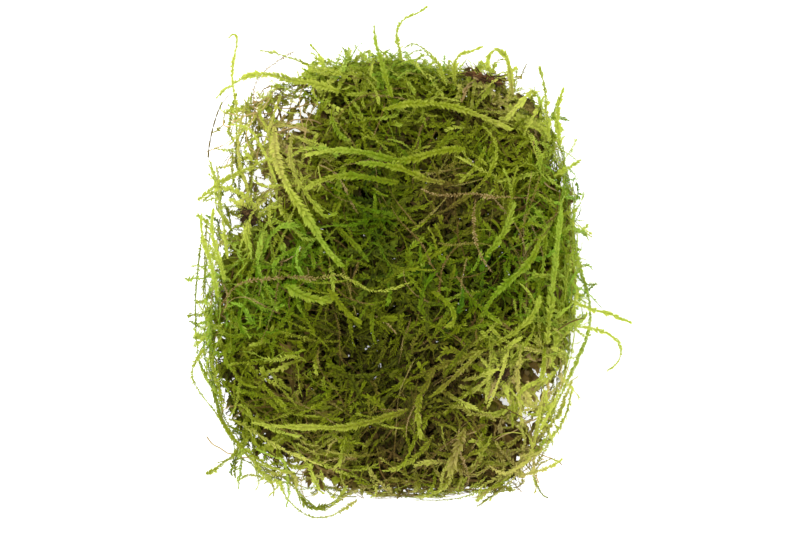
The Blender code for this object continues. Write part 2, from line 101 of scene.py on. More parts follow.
# How the mat's shoots lie, seen from above: x and y along each run, in millimetres.
RUNS = [
    [(-46, 2), (-46.5, -8), (-47, -16), (-46, -24), (-43.5, -32), (-40.5, -39.5)],
    [(-40.5, -39.5), (-36, -46), (-31, -50), (-25, -52.5), (-18, -54), (-10, -55)],
    [(-14, -52), (0, -53.5), (14, -53.5), (26, -52.5), (34, -49.5)],
    [(-37, -35.5), (-32, -35), (-26, -35), (-20, -34)],
    [(-30, -45), (-20, -43.5), (-12, -40.5), (-4, -40)],
    [(-30, -27), (-22, -29), (-15, -31), (-8, -34.5)],
    [(-40, -10.5), (-34, -9), (-28, -9.5), (-22, -13)],
    [(-39, -21), (-32, -17), (-26, -15.5), (-20, -18), (-16, -23)],
    [(-10, -18.5), (-5, -16.5), (0, -14), (5, -9.5)],
    [(-9, 5), (-6, 8), (-2, 11.5), (3, 12.5), (8, 11)],
    [(6, 4), (5.5, -2), (3.5, -8), (0, -14), (-3, -20)],
    [(0, -20), (-4, -26), (-8, -31), (-13, -36)],
    [(20, -20), (14, -26), (8, -32), (0, -36), (-8, -37)],
    [(14, -36), (20, -37), (27, -36.5), (34, -35), (39, -31)],
    [(36, -43), (29, -44.5), (22, -44.5), (14, -47)],
    [(46, -10), (44.5, -18), (43, -26), (41, -33), (37.5, -41)],
    [(44.5, 22), (46, 12), (46.5, 3), (46, -6)],
    [(38, 32), (41, 24), (42.5, 15), (42.5, 6), (42, -4)],
    [(31, 17), (27.5, 9), (22, 1), (17, -5)],
    [(35, 40), (34.5, 33), (35, 26), (36, 18), (35.5, 11)],
    [(-2, 46.5), (10, 47), (20, 45), (30, 40), (36, 33)],
    [(2, 36), (13, 36), (23, 32.5), (30, 27)],
    [(21.5, 33), (22, 27), (19, 20), (15, 14)],
    [(8, 50.5), (18, 49), (26, 45.5), (33, 40)],
    [(16, 23), (20, 16), (24, 9), (30, 4)],
    [(-26, 49), (-14, 50.5), (-2, 51.5), (10, 51)],
    [(-22, 43), (-12, 42), (-2, 42), (6, 43)],
    [(-22, 37), (-12, 35), (0, 33.5), (11, 34.5)],
    [(-34, 24), (-31, 16), (-28, 8), (-26, 1)],
    [(-41, 12), (-38, 5), (-35, -1), (-33, -7)],
    [(-14, 9), (-8, 3), (-2, -2), (4, -5)],
    [(-31, 28), (-24, 27), (-14, 25), (-6, 25)],
    [(-34, 42), (-31.5, 34), (-29, 26)],
    [(-44, 28), (-38, 29), (-31, 29)],
    [(28, -8), (24, -12), (20, -15), (13, -18), (8, -20)],
    [(36, 2), (32, -4), (28, -9), (25, -14)],
    [(-42.5, 42), (-41, 34), (-39.5, 25), (-37, 17)],
    [(-38, 46), (-36.5, 38), (-33, 30), (-31.5, 20)],
]

# Places where the mat is so thin that what is under it shows: x, y, two radii, and the share of
# shoots kept there.
THIN_PLACES = [
    (-43, 34, 11, 19, 0.03), (-36, 40, 9, 9, 0.06), (-41, 20, 6, 5, 0.25), (-37.5, -41.5, 3.5, 3, 0.02),
    (-33.5, -46, 4, 2.4, 0.03), (-28, -49, 3.5, 2.4, 0.05), (-22, -51.5, 4, 1.8, 0.08),
    (-42.5, -17, 1.8, 4.5, 0.1), (-41, -29, 1.4, 4, 0.15), (-30.5, -24.5, 2.8, 2.3, 0.1),
    (-27, -27.5, 1.8, 2.2, 0.1), (27.5, -29.5, 4.6, 3, 0.07), (39, -31, 2.6, 4.2, 0.06),
    (38, -50, 5, 4, 0.03), (37.5, -41, 4.2, 4.6, 0.06), (40, 27, 1.8, 2.4, 0.15),
    (31.5, -31, 3.4, 3, 0.06), (-35, 17, 6, 5.5, 0.03), (-34, -39, 3, 3, 0.12), (45, -21, 2.4, 6, 0.2),
    (26, 14, 2.5, 1.8, 0.5), (-40, 6, 2, 2.5, 0.3), (-43, -6, 1.6, 3, 0.3), (29, 41, 3, 1.6, 0.3),
    (-37, 13.5, 4.6, 4.4, 0.03), (-26, -47.5, 6.5, 4.2, 0.04), (30, -37, 3, 2, 0.2),
    (-25.5, 41, 6, 6, 0.1), (-33.5, 31, 4.5, 6, 0.1), (-31.5, 18.5, 3.4, 3.6, 0.05),
    (33.5, -33, 5.5, 4.2, 0.04), (33, -45.5, 3.4, 3, 0.08), (-30, 42, 6, 5, 0.06),
    (-22.5, 43.5, 5, 4, 0.12), (-30, 21.5, 4, 4.5, 0.08), (-17, -51.5, 3.5, 1.6, 0.3),
    (36.5, -25, 3.4, 3.6, 0.12),
]  # fmt: skip

# Patches of colour: x, y, radius, and the change there in tone and in hue. A hue of -1 is
# emerald, 0 is yellow-green and 1 is brown.
PATCHES = [
    (-6, -22, 14, -0.22, 0.12), (-12, -8, 12, -0.11, 0.0), (4, -44, 12, -0.05, 0.08),
    (13, 18, 9, -0.05, 0.5), (27, 44, 9, 0.08, 0.5), (-33, -8, 12, 0.06, -0.6),
    (-25, 6, 12, -0.04, -0.4), (40, 20, 12, 0.12, -0.4), (21.5, 29, 5, 0.0, -0.35),
    (-27, 24, 11, 0.3, 0.2), (-2, 46, 15, 0.03, -0.3), (-38, 36, 15, 0.27, 0.15),
    (-5, 19, 11, -0.16, -0.45), (31, -28, 11, 0.38, 0.2), (-40, -2, 13, 0.10, 0.0),
    (41, -6, 13, 0.13, -0.15), (16, -4, 14, -0.15, -0.4), (-4, 3, 10, -0.12, -0.35),
    (28, 2, 12, -0.02, -0.35), (18, -47, 12, 0.04, 0.45), (-2, -55, 10, 0.04, 0.4),
    (-37, 9, 8, 0.2, 0.05), (16, 38, 9, -0.06, 0.0), (-36, -24, 7, -0.08, 0.05),
    (15, -24, 9, -0.06, 0.4), (-31, -46, 9, 0.0, 0.08), (35, -46, 8, 0.16, 0.3),
    (-21, -47, 8, 0.24, 0.1), (-26, 38, 6, 0.12, 0.15), (-21, 6, 8, 0.14, -0.1),
    (-18, 40, 8, 0.12, 0.0), (-26, -25, 7, 0.24, 0.05), (38, 34, 8, 0.12, 0.0), (2, 19, 7, -0.1, 0.0),
    (-5, -30, 8, -0.1, 0.0), (10, -30, 6, -0.14, 0.1), (-40, -38, 8, -0.1, 0.0),
    (37, -26, 8, 0.2, 0.15), (-14, -52, 6, 0.12, 0.2),
]  # fmt: skip


class Layer(NamedTuple):
    """Shoots of the mat that grow alike. Lengths and depths are in millimetres, and depths are
    negative under the mat's skin."""

    count: str  # the setting that holds their number
    part: str  # the part of the skin that they start from
    lengths: tuple
    feet: tuple  # depths that they start at
    tips: tuple  # depths that they rise to
    spread: float  # how far their headings stray from the lie, in radians
    curl: float  # how tightly they wind, in radians a millimetre
    follow: float  # how much they lean into the lie in a millimetre
    steps: int
    coarse: float  # size and spacing of their leaves, against the look's
    holes: float  # power on a thin place's share: the lower, the more shoots cross it
    brown: float  # share of dead shoots
    core: float  # thickness of their stems, against the look's
    climb: float = 0.7  # steepest slope at which they leave the mat


TOP_LAYERS = (
    Layer("runs", "top", (12, 32), (-4, -0.8), (-1.2, 0.3), 0.4, 0.1, 0.05, 13, 0.9, 0.6, 0.03, 1.3),
    Layer("tangle", "top", (6, 16), (-3.6, -0.8), (-2.4, 0), 1.2, 0.2, 0.01, 8, 1.1, 0.8, 0.05, 1.6),
    Layer("under", "top", (8, 18), (-7, -2.6), (-5.5, -1.8), 1.4, 0.17, 0, 6, 2.7, 1.0, 0.2, 3.4),
)
SIDE_LAYERS = (
    Layer("crown", "back", (6, 13), (-3, -0.5), (2, 7), 1.0, 0.12, 0.0, 9, 0.9, 0.5, 0.04, 1.3, 1.4),
    Layer("sprigs", "rim", (5, 13), (-4, -1), (2, 6), 1.2, 0.14, 0.0, 9, 0.9, 0.5, 0.04, 1.3, 1.6),
    Layer("sides", "side", (8, 24), (-4, -0.8), (-1.6, 0.1), 0.9, 0.17, 0.02, 11, 1.15, 0.5, 0.06, 1.5),
    Layer("sides", "side", (8, 18), (-8, -3), (-6, -2), 1.3, 0.15, 0, 6, 2.7, 1.0, 0.2, 3.4),
)
BASE_LAYERS = (
    Layer("base", "base", (10, 28), (-5, -1.5), (-2.5, -0.9), 1.0, 0.12, 0.02, 8, 2.4, 0.8, 0.15, 2.6),
)
# For these two coarse and core are not read, nor is brown for the straws: the fibres are bare,
# and the straws have a look and tones of their own.
FIBRE_LAYER = Layer("fibres", "all", (14, 36), (-10, -3.5), (-8, -2.5), 1.4, 0.14, 0, 8, 0, 1.0, 0.7, 0)
STRAW_LAYER = Layer("straws", "top", (7, 24), (-2.5, -0.4), (-1.2, 0.5), 0.8, 0.1, 0, 9, 0, 0.5, 1.0, 0)

# Strands that cross the mat's open corner and follow its rim, seen from above, and how many run
# side by side.
CORNER_STRANDS = [
    (2, [(-39.3, 46), (-40.2, 39.3), (-39.5, 34.4), (-37.6, 29.5), (-37, 22), (-36, 15)]),
    (3, [(-33.9, 43), (-34.6, 35.6), (-35.1, 29.5), (-34.9, 21), (-33.5, 13)]),
    (2, [(-31.2, 36), (-29.3, 32), (-29, 27), (-28, 19.8), (-27.5, 13)]),
    (2, [(-44.5, 29.5), (-38.3, 29), (-29.8, 29.5), (-22.4, 28.3)]),
    (2, [(-46, 20.5), (-40.7, 22.7), (-35.9, 25.1), (-29.8, 25.9), (-23, 25)]),
    (2, [(-37.5, 42.4), (-33.4, 38.8), (-29.8, 37.3), (-24.9, 37.3), (-19, 36.3)]),
    (1, [(-41.5, 29.5), (-39.5, 23.4), (-38, 18.5), (-37, 12)]),
    (2, [(-44.2, 29), (-43.4, 22.2), (-42.4, 17.3), (-41.5, 11)]),
    (1, [(-36, 33), (-31, 31), (-26, 31.5), (-20, 33)]),
    (2, [(-38.5, 38), (-36, 33), (-32, 28), (-27, 22)]),
    (2, [(-41, 44.5), (-36, 43), (-30, 41.5), (-23, 41)]),
    (2, [(-36.5, 47), (-35, 42), (-30, 36), (-24, 32)]),
    (2, [(-26, 46.5), (-29, 42), (-31, 36.5), (-30.5, 30)]),
]
RIM_STRANDS = [
    (3, [(-46.3, 12), (-45.6, 2.7), (-46.2, -7), (-46, -15), (-45, -22), (-43, -31.5)]),
    (3, [(-45.6, -19), (-44, -29), (-41.2, -38), (-36.5, -45), (-29, -50.5), (-20, -53.8)]),
    (2, [(-42.5, -33), (-39.5, -39), (-35.5, -43.2), (-31, -47.5), (-24.5, -50)]),
    (2, [(-41, -36), (-35.5, -39.5), (-31.8, -43.8), (-30, -50)]),
    (2, [(-31.5, -45.5), (-27.5, -46.5), (-25.5, -50), (-24, -54)]),
    (1, [(-43, -26), (-38, -31), (-36, -38), (-38, -44)]),
    (1, [(-39, -34), (-33, -37), (-28, -43), (-20, -47)]),
    (3, [(43.8, 18), (45.4, 6), (45.3, -7), (43.6, -19), (40.2, -30), (35.5, -39)]),
    (2, [(41.5, -26), (38.5, -35), (34, -42), (28, -49), (20, -53)]),
    (2, [(36, -26), (34, -31), (34.5, -38), (30, -45)]),
    (2, [(41, -26), (36, -31), (30, -34), (24, -35)]),
    (4, [(-21, 51), (-13, 54.5), (-4, 55), (5, 55), (12, 53)]),
    (4, [(-26, 47), (-20, 51.5), (-12, 53), (-3, 52)]),
    (3, [(2, 53), (9, 54), (16, 52), (22, 50)]),
    (3, [(14, 52), (22, 50.5), (29, 46), (35, 40)]),
    (3, [(-20, 43), (-18, 49), (-16, 56)]),
    (3, [(-13, 45), (-10, 51), (-8, 58)]),
    (3, [(-5, 46), (-4, 52), (-6, 58)]),
    (3, [(3, 45), (5, 51), (8, 57.5)]),
    (3, [(11, 45), (14, 50), (18, 55)]),
    (3, [(19, 43), (23, 47.5), (27, 52)]),
    (3, [(25, 41), (29, 45), (32, 49)]),
    (3, [(33, 37), (36, 42), (38, 48)]),
    (2, [(38, 33), (41, 38), (42, 44)]),
    (3, [(-25, -50), (-20, -55.5), (-14, -57), (-9, -54)]),
    (2, [(22, -21), (28, -27), (33, -34), (36, -42)]),
    (2, [(20, -30), (27, -31.5), (34, -34), (40, -33)]),
    (2, [(31, -22), (32.5, -28), (31, -35), (32, -42)]),
    (2, [(-36, -19), (-31.5, -22.5), (-28, -27), (-24, -32)]),
    (2, [(38, -19), (37, -25), (34, -30), (30, -34)]),
]

# Litter that strands of the open corner and of the rim carry.
CARRIED = {"corner": ("root_knot",), "rim": ("bark_flake", "dead_leaf", "peat_crumb")}

# Where stray strands cross the open corner and the rim: how many, the middle and half the sides
# of the box that they start in, and the share that are thin brown stems.
STRAYS = {
    "corner": [(16, -34.5, 32, 8, 14, 0.1), (24, -27, 38, 9, 4, 0.85)],
    "rim": [
        (12, -37, -41, 5, 7, 0.1), (12, -28, -48, 7, 3, 0.1), (16, 33, -40, 5, 8, 0.2),
        (12, 26, -46, 8, 3, 0.1), (14, -43, -12, 2.5, 14, 0.1), (26, -9, 52, 12, 2, 0.08),
        (14, 44, 6, 2.5, 22, 0.1), (8, 20, 49, 9, 3, 0.3),
    ],
}  # fmt: skip


# Reading the frame


def node_mesh(name):
    """A CAD node's corners without repeats, in millimetres, and its triangles."""
    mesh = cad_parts[name].data
    corners = np.empty(len(mesh.vertices) * 3)
    mesh.vertices.foreach_get("co", corners)
    mesh.calc_loop_triangles()
    faces = np.empty(len(mesh.loop_triangles) * 3, int)
    mesh.loop_triangles.foreach_get("vertices", faces)
    places, order = np.unique(corners.reshape(-1, 3).round(7), axis=0, return_inverse=True)
    return places / MM, order.reshape(-1)[faces].reshape(-1, 3)


def tube_line(name):
    """A CAD tube's middle line and its radius at each point of it, from its outer end inwards.

    The shortest walk between every two corners is found by joining walks until they stop getting
    shorter. Sorted by their walk from one end, the corners fall into rings, and the line runs
    through the rings' means.
    """
    places, faces = node_mesh(name)
    walk = np.full((len(places), len(places)), np.inf)
    for first, second in ((0, 1), (1, 2), (2, 0)):
        start, stop = faces[:, first], faces[:, second]
        step = np.linalg.norm(places[start] - places[stop], axis=1)
        walk[start, stop] = step
        walk[stop, start] = step
    np.fill_diagonal(walk, 0)
    for _ in range(math.ceil(math.log2(len(places)))):
        walk = (walk[:, :, None] + walk[None, :, :]).min(1)
    end = np.unravel_index(walk.argmax(), walk.shape)[0]
    rings = places[walk[end].argsort()].reshape(-1, TUBE_SIDES, 3)
    line = rings.mean(1)
    radii = np.linalg.norm(rings - line[:, None], axis=2).mean(1)
    if np.linalg.norm(line[0, :2]) < np.linalg.norm(line[-1, :2]):
        line, radii = line[::-1], radii[::-1]
    return line, radii


# Arithmetic on many points at once


def unit(vectors):
    """Each vector divided by its length."""
    return vectors / np.maximum(np.linalg.norm(vectors, axis=-1, keepdims=True), 1e-9)


def around(angles):
    """Cosine and sine of each angle."""
    return np.stack([np.cos(angles), np.sin(angles)], -1)


def smooth_step(share):
    """A ramp from 0 to 1 that starts and ends level: 3s² - 2s³."""
    share = np.clip(share, 0, 1)
    return share * share * (3 - 2 * share)


def resampled(line, count):
    """A line read at evenly spaced lengths along it, after rounding its corners three times.

    Each rounding keeps the ends and puts two points on every stretch, at a quarter and at three
    quarters of it.
    """
    for _ in range(3):
        inner = np.stack([0.75 * line[:-1] + 0.25 * line[1:], 0.25 * line[:-1] + 0.75 * line[1:]], 1)
        line = np.concatenate([line[:1], inner.reshape(-1, line.shape[1]), line[-1:]])
    along = np.concatenate([[0], np.cumsum(np.linalg.norm(np.diff(line, axis=0), axis=1))])
    at = np.linspace(0, along[-1], count)
    return np.stack([np.interp(at, along, column) for column in line.T], 1)


def nearest(points, sites, block=2000):
    """The index of the site nearest to each point, by the least square distance."""
    found = []
    for start in range(0, len(points), block):
        some = points[start : start + block]
        found.append(((sites**2).sum(1) - 2 * some @ sites.T).argmin(1))
    return np.concatenate(found)


def read_grid(grid, low, cell, points):
    """A grid's values at points between its nodes, weighted by closeness along each axis."""
    sides = points.shape[1]
    top = np.array(grid.shape[:sides]) - 1.001
    place = np.clip((points - low) / cell, 0, top)
    base = place.astype(int)
    part = place - base
    total = 0
    for corner in np.ndindex(*(2,) * sides):
        weight = np.prod(np.where(corner, part, 1 - part), axis=1)
        value = grid[tuple((base + corner).T)]
        total = total + (value.T * weight).T
    return total


class MatField:
    """What steers a growing shoot: how deep it is in the mat, which way is out, and how its
    neighbours lie."""

    CELL = 2.5  # between the grid's nodes
    MARGIN = 12.0  # from the mat to the grid's edges
    RUN_REACH = 6.0  # how far a run of shoots draws its neighbours along
    RIM_PULL = 0.02  # how much shoots follow the rim where no run is near
    EDGE_FADE = 7.0  # how far inwards the edge fades by e
    FALL = 1.1  # how steeply strands fall clear of the mat
    FRONT, BACK = -50, 36  # where the rim's shoots start and where its far end does, along y

    def __init__(self):
        corners, faces = node_mesh(MAT)
        triangles = corners[faces]
        crossed = np.cross(triangles[:, 1] - triangles[:, 0], triangles[:, 2] - triangles[:, 0])
        self.centres = triangles.mean(1)
        self.normals = unit(crossed)
        self.areas = np.linalg.norm(crossed, axis=1) / 2
        self.triangles = triangles
        self.low = corners.min(0) - self.MARGIN
        self.high = corners.max(0) + self.MARGIN
        self.rim_height = corners[np.abs(corners[:, 0]).argmax(), 2]
        self.set_depths()
        self.set_runs()

    def nodes(self, sides):
        """The grid's nodes along its first two or three axes, and its shape."""
        axes = [np.arange(self.low[i], self.high[i] + self.CELL, self.CELL) for i in range(sides)]
        mesh = np.meshgrid(*axes, indexing="ij")
        return np.stack([axis.ravel() for axis in mesh], 1), mesh[0].shape

    def set_depths(self):
        """Signed distance at each node, outward positive: the distance from the plane of the
        nearest face, averaged with the six nodes round it to soften the creases."""
        points, shape = self.nodes(3)
        near = nearest(points, self.centres)
        away = ((points - self.centres[near]) * self.normals[near]).sum(1).reshape(shape)
        padded = np.pad(away, 1, mode="edge")
        neighbours = sum(
            padded[1 + dx : shape[0] + 1 + dx, 1 + dy : shape[1] + 1 + dy, 1 + dz : shape[2] + 1 + dz]
            for dx, dy, dz in ((1, 0, 0), (-1, 0, 0), (0, 1, 0), (0, -1, 0), (0, 0, 1), (0, 0, -1))
        )
        self.away = 0.5 * away + neighbours / 12
        self.slope = unit(np.stack(np.gradient(self.away, self.CELL), -1))

    def set_runs(self):
        """Lie of the shoots at each node: the sum of the directions at twice the angle of each
        run near it, weighted by exp(-(distance / reach)²), so that a run counts the same both
        ways. Far from every run the shoots lie round the mat."""
        lines = [resampled(np.array(run, float), RUN_POINTS) for run in RUNS]
        lines += [resampled(tube_line(name)[0][:, :2], RUN_POINTS) for name in LIVE]
        places = np.concatenate([line[1:] for line in lines])
        turns = np.concatenate([np.diff(line, axis=0) for line in lines])
        twice = 2 * np.arctan2(turns[:, 1], turns[:, 0])
        points, shape = self.nodes(2)
        apart = ((points[:, None] - places) ** 2).sum(2)
        weight = np.exp(-apart / self.RUN_REACH**2)
        round_rim = 2 * np.arctan2(points[:, 0], -points[:, 1])
        lie = weight @ around(twice) + self.RIM_PULL * around(round_rim)
        self.lie = lie.reshape(*shape, 2)

    def depth(self, points):
        """Signed distance from the mat's skin, outward positive."""
        return read_grid(self.away, self.low, self.CELL, points)

    def outward(self, points):
        """The way out of the mat at points, which may be in rows."""
        flat = points.reshape(-1, 3)
        return unit(read_grid(self.slope, self.low, self.CELL, flat)).reshape(points.shape)

    def run(self, points, headings):
        """The lie of the shoots at points, turned to the way that each is heading."""
        lie = read_grid(self.lie, self.low[:2], self.CELL, points[:, :2])
        angle = np.arctan2(lie[:, 1], lie[:, 0]) / 2
        way = np.stack([np.cos(angle), np.sin(angle), np.zeros(len(angle))], 1)
        return way * np.where((way * headings).sum(1) < 0, -1, 1)[:, None]

    def edge(self, points):
        """1 at the mat's widest line and falling inwards: exp(depth / fade), with the depth read
        at the rim's height."""
        level = points.copy()
        level[:, 2] = self.rim_height
        return np.exp(np.minimum(self.depth(level), 0) / self.EDGE_FADE)

    def settle(self, points, depths):
        """Points moved six times along the outward slope by what each lacks to its depth."""
        for _ in range(6):
            points = points + self.outward(points) * (depths - self.depth(points))[:, None]
        return points

    def draped(self, flat, depth):
        """Points over places seen from above, moved up or down towards a depth under the mat's
        top. From 3 mm inside the mat's edge they may fall below its rim's height, by 1.1 mm for
        each millimetre outwards, but not below 1.5 mm."""
        level = np.concatenate([flat, np.full((len(flat), 1), self.rim_height)], 1)
        fall = self.FALL * np.maximum(self.depth(level) + 3, 0)
        lowest = np.maximum(self.rim_height - fall, 1.5)
        points = level + (0, 0, 6)
        for _ in range(14):
            points[:, 2] = np.clip(points[:, 2] + 0.6 * (depth - self.depth(points)), lowest, 30)
        return points

    def share(self, part):
        """How much each face of the skin belongs to a part of it: the top's faces look up, the
        base's down and the side's sideways. The rim's look sideways and a little up, and it
        leaves out the front, which is pressed flat. The back is the rim's far end."""
        height = self.normals[:, 2]
        if part in ("rim", "back"):
            start = self.FRONT if part == "rim" else self.BACK
            behind = smooth_step((self.centres[:, 1] - start) / 10)
            return smooth_step((height + 0.15) * 4) * smooth_step((0.9 - height) * 3) * behind
        if part == "top":
            return smooth_step((height - 0.1) * 2)
        if part == "side":
            return smooth_step(1.3 - 2 * np.abs(height))
        if part == "base":
            return smooth_step(-height)
        return np.ones(len(height))

    def seeds(self, rng, count, part):
        """Random points on a part of the skin, where each face draws its area times its share."""
        odds = self.areas * self.share(part)
        chosen = rng.choice(len(odds), count, p=odds / odds.sum())
        shares = rng.random((2, count, 1))
        root = np.sqrt(shares[0])
        first, second, third = self.triangles[chosen].transpose(1, 0, 2)
        return (1 - root) * first + root * (1 - shares[1]) * second + root * shares[1] * third


@cache
def mat_field():
    """The field of the mat, worked out once."""
    return MatField()


def kept_share(points):
    """Share of the shoots kept at each point: the least of the thin places' shares, each fading
    to 1 at its edge."""
    share = np.ones(points.shape[:-1])
    for x, y, across, up, kept in THIN_PLACES:
        away = ((points[..., 0] - x) / across) ** 2 + ((points[..., 1] - y) / up) ** 2
        share = np.minimum(share, kept + (1 - kept) * smooth_step((away - 0.7) / 0.6))
    return share


# Growing shoots


def grow(field, rng, starts, headings, depths, layer):
    """Lines of shoots that grow through the mat, as an array of shoots by points by 3.

    At each step a heading turns by its own bend, which swings as a sine along the shoot, leans
    towards the lie of its neighbours, and is turned towards the depth it should be at, which
    goes from its first depth to its second. depths has the two for each shoot.
    """
    count = len(starts)
    bend = rng.normal(0, layer.curl * 0.5, count)
    swing = rng.normal(0, layer.curl, count)
    phase = rng.uniform(0, 2 * math.pi, count)
    rate = rng.uniform(4, 9, count)
    pace = (rng.uniform(*layer.lengths, count) / layer.steps)[:, None]
    place = starts
    line = [place]
    for step in range(layer.steps):
        share = step / layer.steps
        outward = field.outward(place)
        aim = depths[:, 0] + (depths[:, 1] - depths[:, 0]) * smooth_step(share * 1.3)
        rise = np.clip((aim - field.depth(place)) * 0.3, -0.7, layer.climb)[:, None]
        turn = (bend + swing * np.sin(phase + rate * share))[:, None]
        sideways = np.cross(outward, headings)
        lean = field.run(place, headings) - headings
        headings = headings + pace * (turn * sideways + layer.follow * lean)
        headings = headings - outward * (headings * outward).sum(1)[:, None]
        headings = unit(unit(headings) + outward * rise)
        place = place + headings * pace
        place[:, 2] = np.maximum(place[:, 2], LOWEST)
        line.append(place)
    return np.stack(line, 1)


def scattered_headings(field, rng, starts, spread):
    """Headings along the lie at each start, either way, turned about the way out by a normal
    spread in radians."""
    count = len(starts)
    ways = field.run(starts, unit(rng.normal(size=(count, 3))))
    outward = field.outward(starts)
    ways = unit(ways - outward * (ways * outward).sum(1)[:, None] + 1e-6)
    angle = rng.normal(0, spread, count)[:, None]
    return ways * np.cos(angle) + np.cross(outward, ways) * np.sin(angle)


def grown_layer(field, rng, layer, count):
    """A layer's lines, without those that chance drops where they cross a thin place."""
    feet, tips = (rng.uniform(*ends, count) for ends in (layer.feet, layer.tips))
    starts = field.settle(field.seeds(rng, count, layer.part), feet)
    headings = scattered_headings(field, rng, starts, layer.spread)
    lines = grow(field, rng, starts, headings, np.stack([feet, tips], 1), layer)
    return lines[kept_share(lines).min(1) ** layer.holes > rng.random(count)]


def laid_strands(field, rng, routes):
    """Each route as often as it has mates, each mate shifted as a whole and at its points by
    chance, then draped on the mat."""
    lines = []
    for mates, route in routes:
        for _ in range(mates):
            shift = rng.normal(0, 1.0, 2) + rng.normal(0, 1.5, (len(route), 2))
            flat = resampled(np.array(route, float) + shift, STRAND_POINTS)
            line = field.draped(flat, rng.uniform(-3.5, -0.4))
            line[:, 2] += rng.uniform(-3, 2) + rng.normal(0, 0.5, STRAND_POINTS)
            lines.append(resampled(line, STRAND_POINTS))
    return np.stack(lines)


def stray_strands(field, rng, boxes):
    """Strands whose middles are anywhere in each box, which head anywhere and wind by chance,
    draped on the mat, and which of them are brown."""
    table = np.repeat([box[1:] for box in boxes], [box[0] for box in boxes], axis=0)
    middle, half, brown = table[:, :2], table[:, 2:4], table[:, 4]
    count, points = len(table), STRAND_POINTS
    turns = rng.normal(0, 0.12, (count, 1)) + rng.normal(0, 0.22, (count, points))
    angles = rng.uniform(0, 2 * math.pi, (count, 1)) + np.cumsum(turns, 1)
    steps = np.cumsum(around(angles) * rng.uniform(8, 20, (count, 1, 1)) / points, 1)
    middles = middle + half * rng.uniform(-1, 1, (count, 2))
    flat = middles[:, None] + steps - steps[:, points // 2, None]
    depths = np.repeat(rng.uniform(-4.5, 0, count), points)
    lines = field.draped(flat.reshape(-1, 2), depths).reshape(count, points, 3)
    lines[..., 2] += rng.uniform(-2, 1.5, (count, 1)) + rng.normal(0, 0.25, (count, points))
    lines = np.stack([resampled(line, points) for line in lines])
    return lines, rng.random(count) < brown


def carrier_strands(field, rng, litter, count=14):
    """Strands that rise out of the mat, pass close under a piece of litter, or over it for every
    seventh, and go back into the mat."""
    low, high = (np.array(corner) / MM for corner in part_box(litter))
    middle = rng.uniform(low, high, (count, 3))
    gap = rng.uniform(0.2, 1.5, count)
    middle[:, 2] = np.where(np.arange(count) % 7 > 0, low[2] - gap, high[2] + 0.3 * gap)
    half = np.zeros((count, 3))
    half[:, :2] = around(rng.uniform(0, 2 * math.pi, count)) * rng.uniform(4, 9, (count, 1))
    feet = [field.settle(middle + side * half, rng.uniform(-2.5, -0.4, count)) for side in (-1, 1)]
    routes = np.stack([feet[0], middle - 0.35 * half, middle + 0.35 * half, feet[1]], 1)
    return np.stack([resampled(route, STRAND_POINTS) for route in routes])


# Meshes of shoots


def sampled(lines, shoot, along):
    """Points of lines at shares along them: the two nearest points weighted by closeness."""
    place = np.clip(along, 0, 1) * (lines.shape[1] - 1.001)
    base = place.astype(int)
    part = (place - base)[:, None]
    return lines[shoot, base] * (1 - part) + lines[shoot, base + 1] * part


def line_axes(lines, outward, rolls):
    """Forward, upward and sideways unit vectors along each line. Upward is the way out of the
    mat squared to the line and rolled about it, and sideways is forward crossed with upward."""
    forward = unit(np.gradient(lines, axis=1))
    upward = unit(outward - forward * (outward * forward).sum(-1, keepdims=True))
    sideways = np.cross(forward, upward)
    rolls = rolls[:, :, None]
    return (
        forward,
        upward * np.cos(rolls) + sideways * np.sin(rolls),
        sideways * np.cos(rolls) - upward * np.sin(rolls),
    )


def tube_faces(count, rows, sides):
    """Triangles of closed tubes whose rings of corners follow one another, tube by tube: two for
    each side between neighbouring rings, and a fan over each end ring."""
    first = np.arange(count)[:, None, None] * rows * sides
    along = first + np.arange(rows - 1)[:, None] * sides
    here = along + np.arange(sides)
    across = along + (np.arange(sides) + 1) % sides
    skin = np.stack([here, here + sides, across + sides, here, across + sides, across], -1)
    fan = np.stack([np.zeros(sides - 2, int), np.arange(1, sides - 1), np.arange(2, sides)], 1)
    start = first + fan
    end = first + (rows - 1) * sides + fan[:, ::-1]
    return np.concatenate([part.reshape(-1, 3) for part in (skin, start, end)])


# A leaf's corners are its base, its two sides and its tip.
LEAF_FACES = np.array([(0, 2, 1), (3, 1, 2), (0, 1, 3), (0, 3, 2)])
LEAF_TONES = np.array([(-0.10, 0.01), (0.0, -0.02), (0.0, 0.02), (0.10, -0.01)])
LEAF_EDGE = np.abs(LEAF_TONES).max(0) + 0.01  # nearest that a leaf's tone and hue come to 0 or 1
STEM_EDGE = 0.03  # nearest that a stem's do
MAP_STEP = 0.01  # radius of a stem's rings on the map of tones


def stems(lines, axes, radii, tones, sides=3):
    """Closed tapered tubes along lines: each point carries a ring, at equal angles between the
    sideways and upward vectors. radii and tones are per point.

    On the map each ring is a small turned circle about its point's tone and hue, and the tone
    steps up and down from ring to ring, so that every face has some width there. Returns places,
    triangles and tones.
    """
    angles = np.arange(sides) * 2 * math.pi / sides
    _, upward, sideways = (axis[:, :, None] for axis in axes)
    circle = around(angles)
    ring = sideways * circle[:, :1] + upward * circle[:, 1:]
    places = lines[:, :, None] + ring * radii[:, :, None, None]
    spread = np.clip(tones, STEM_EDGE, 1 - STEM_EDGE)[:, :, None] + MAP_STEP * around(angles + 0.3)
    spread[:, ::2, :, 0] -= MAP_STEP
    return places.reshape(-1, 3), tube_faces(*places.shape[:3]), spread.reshape(-1, 2)


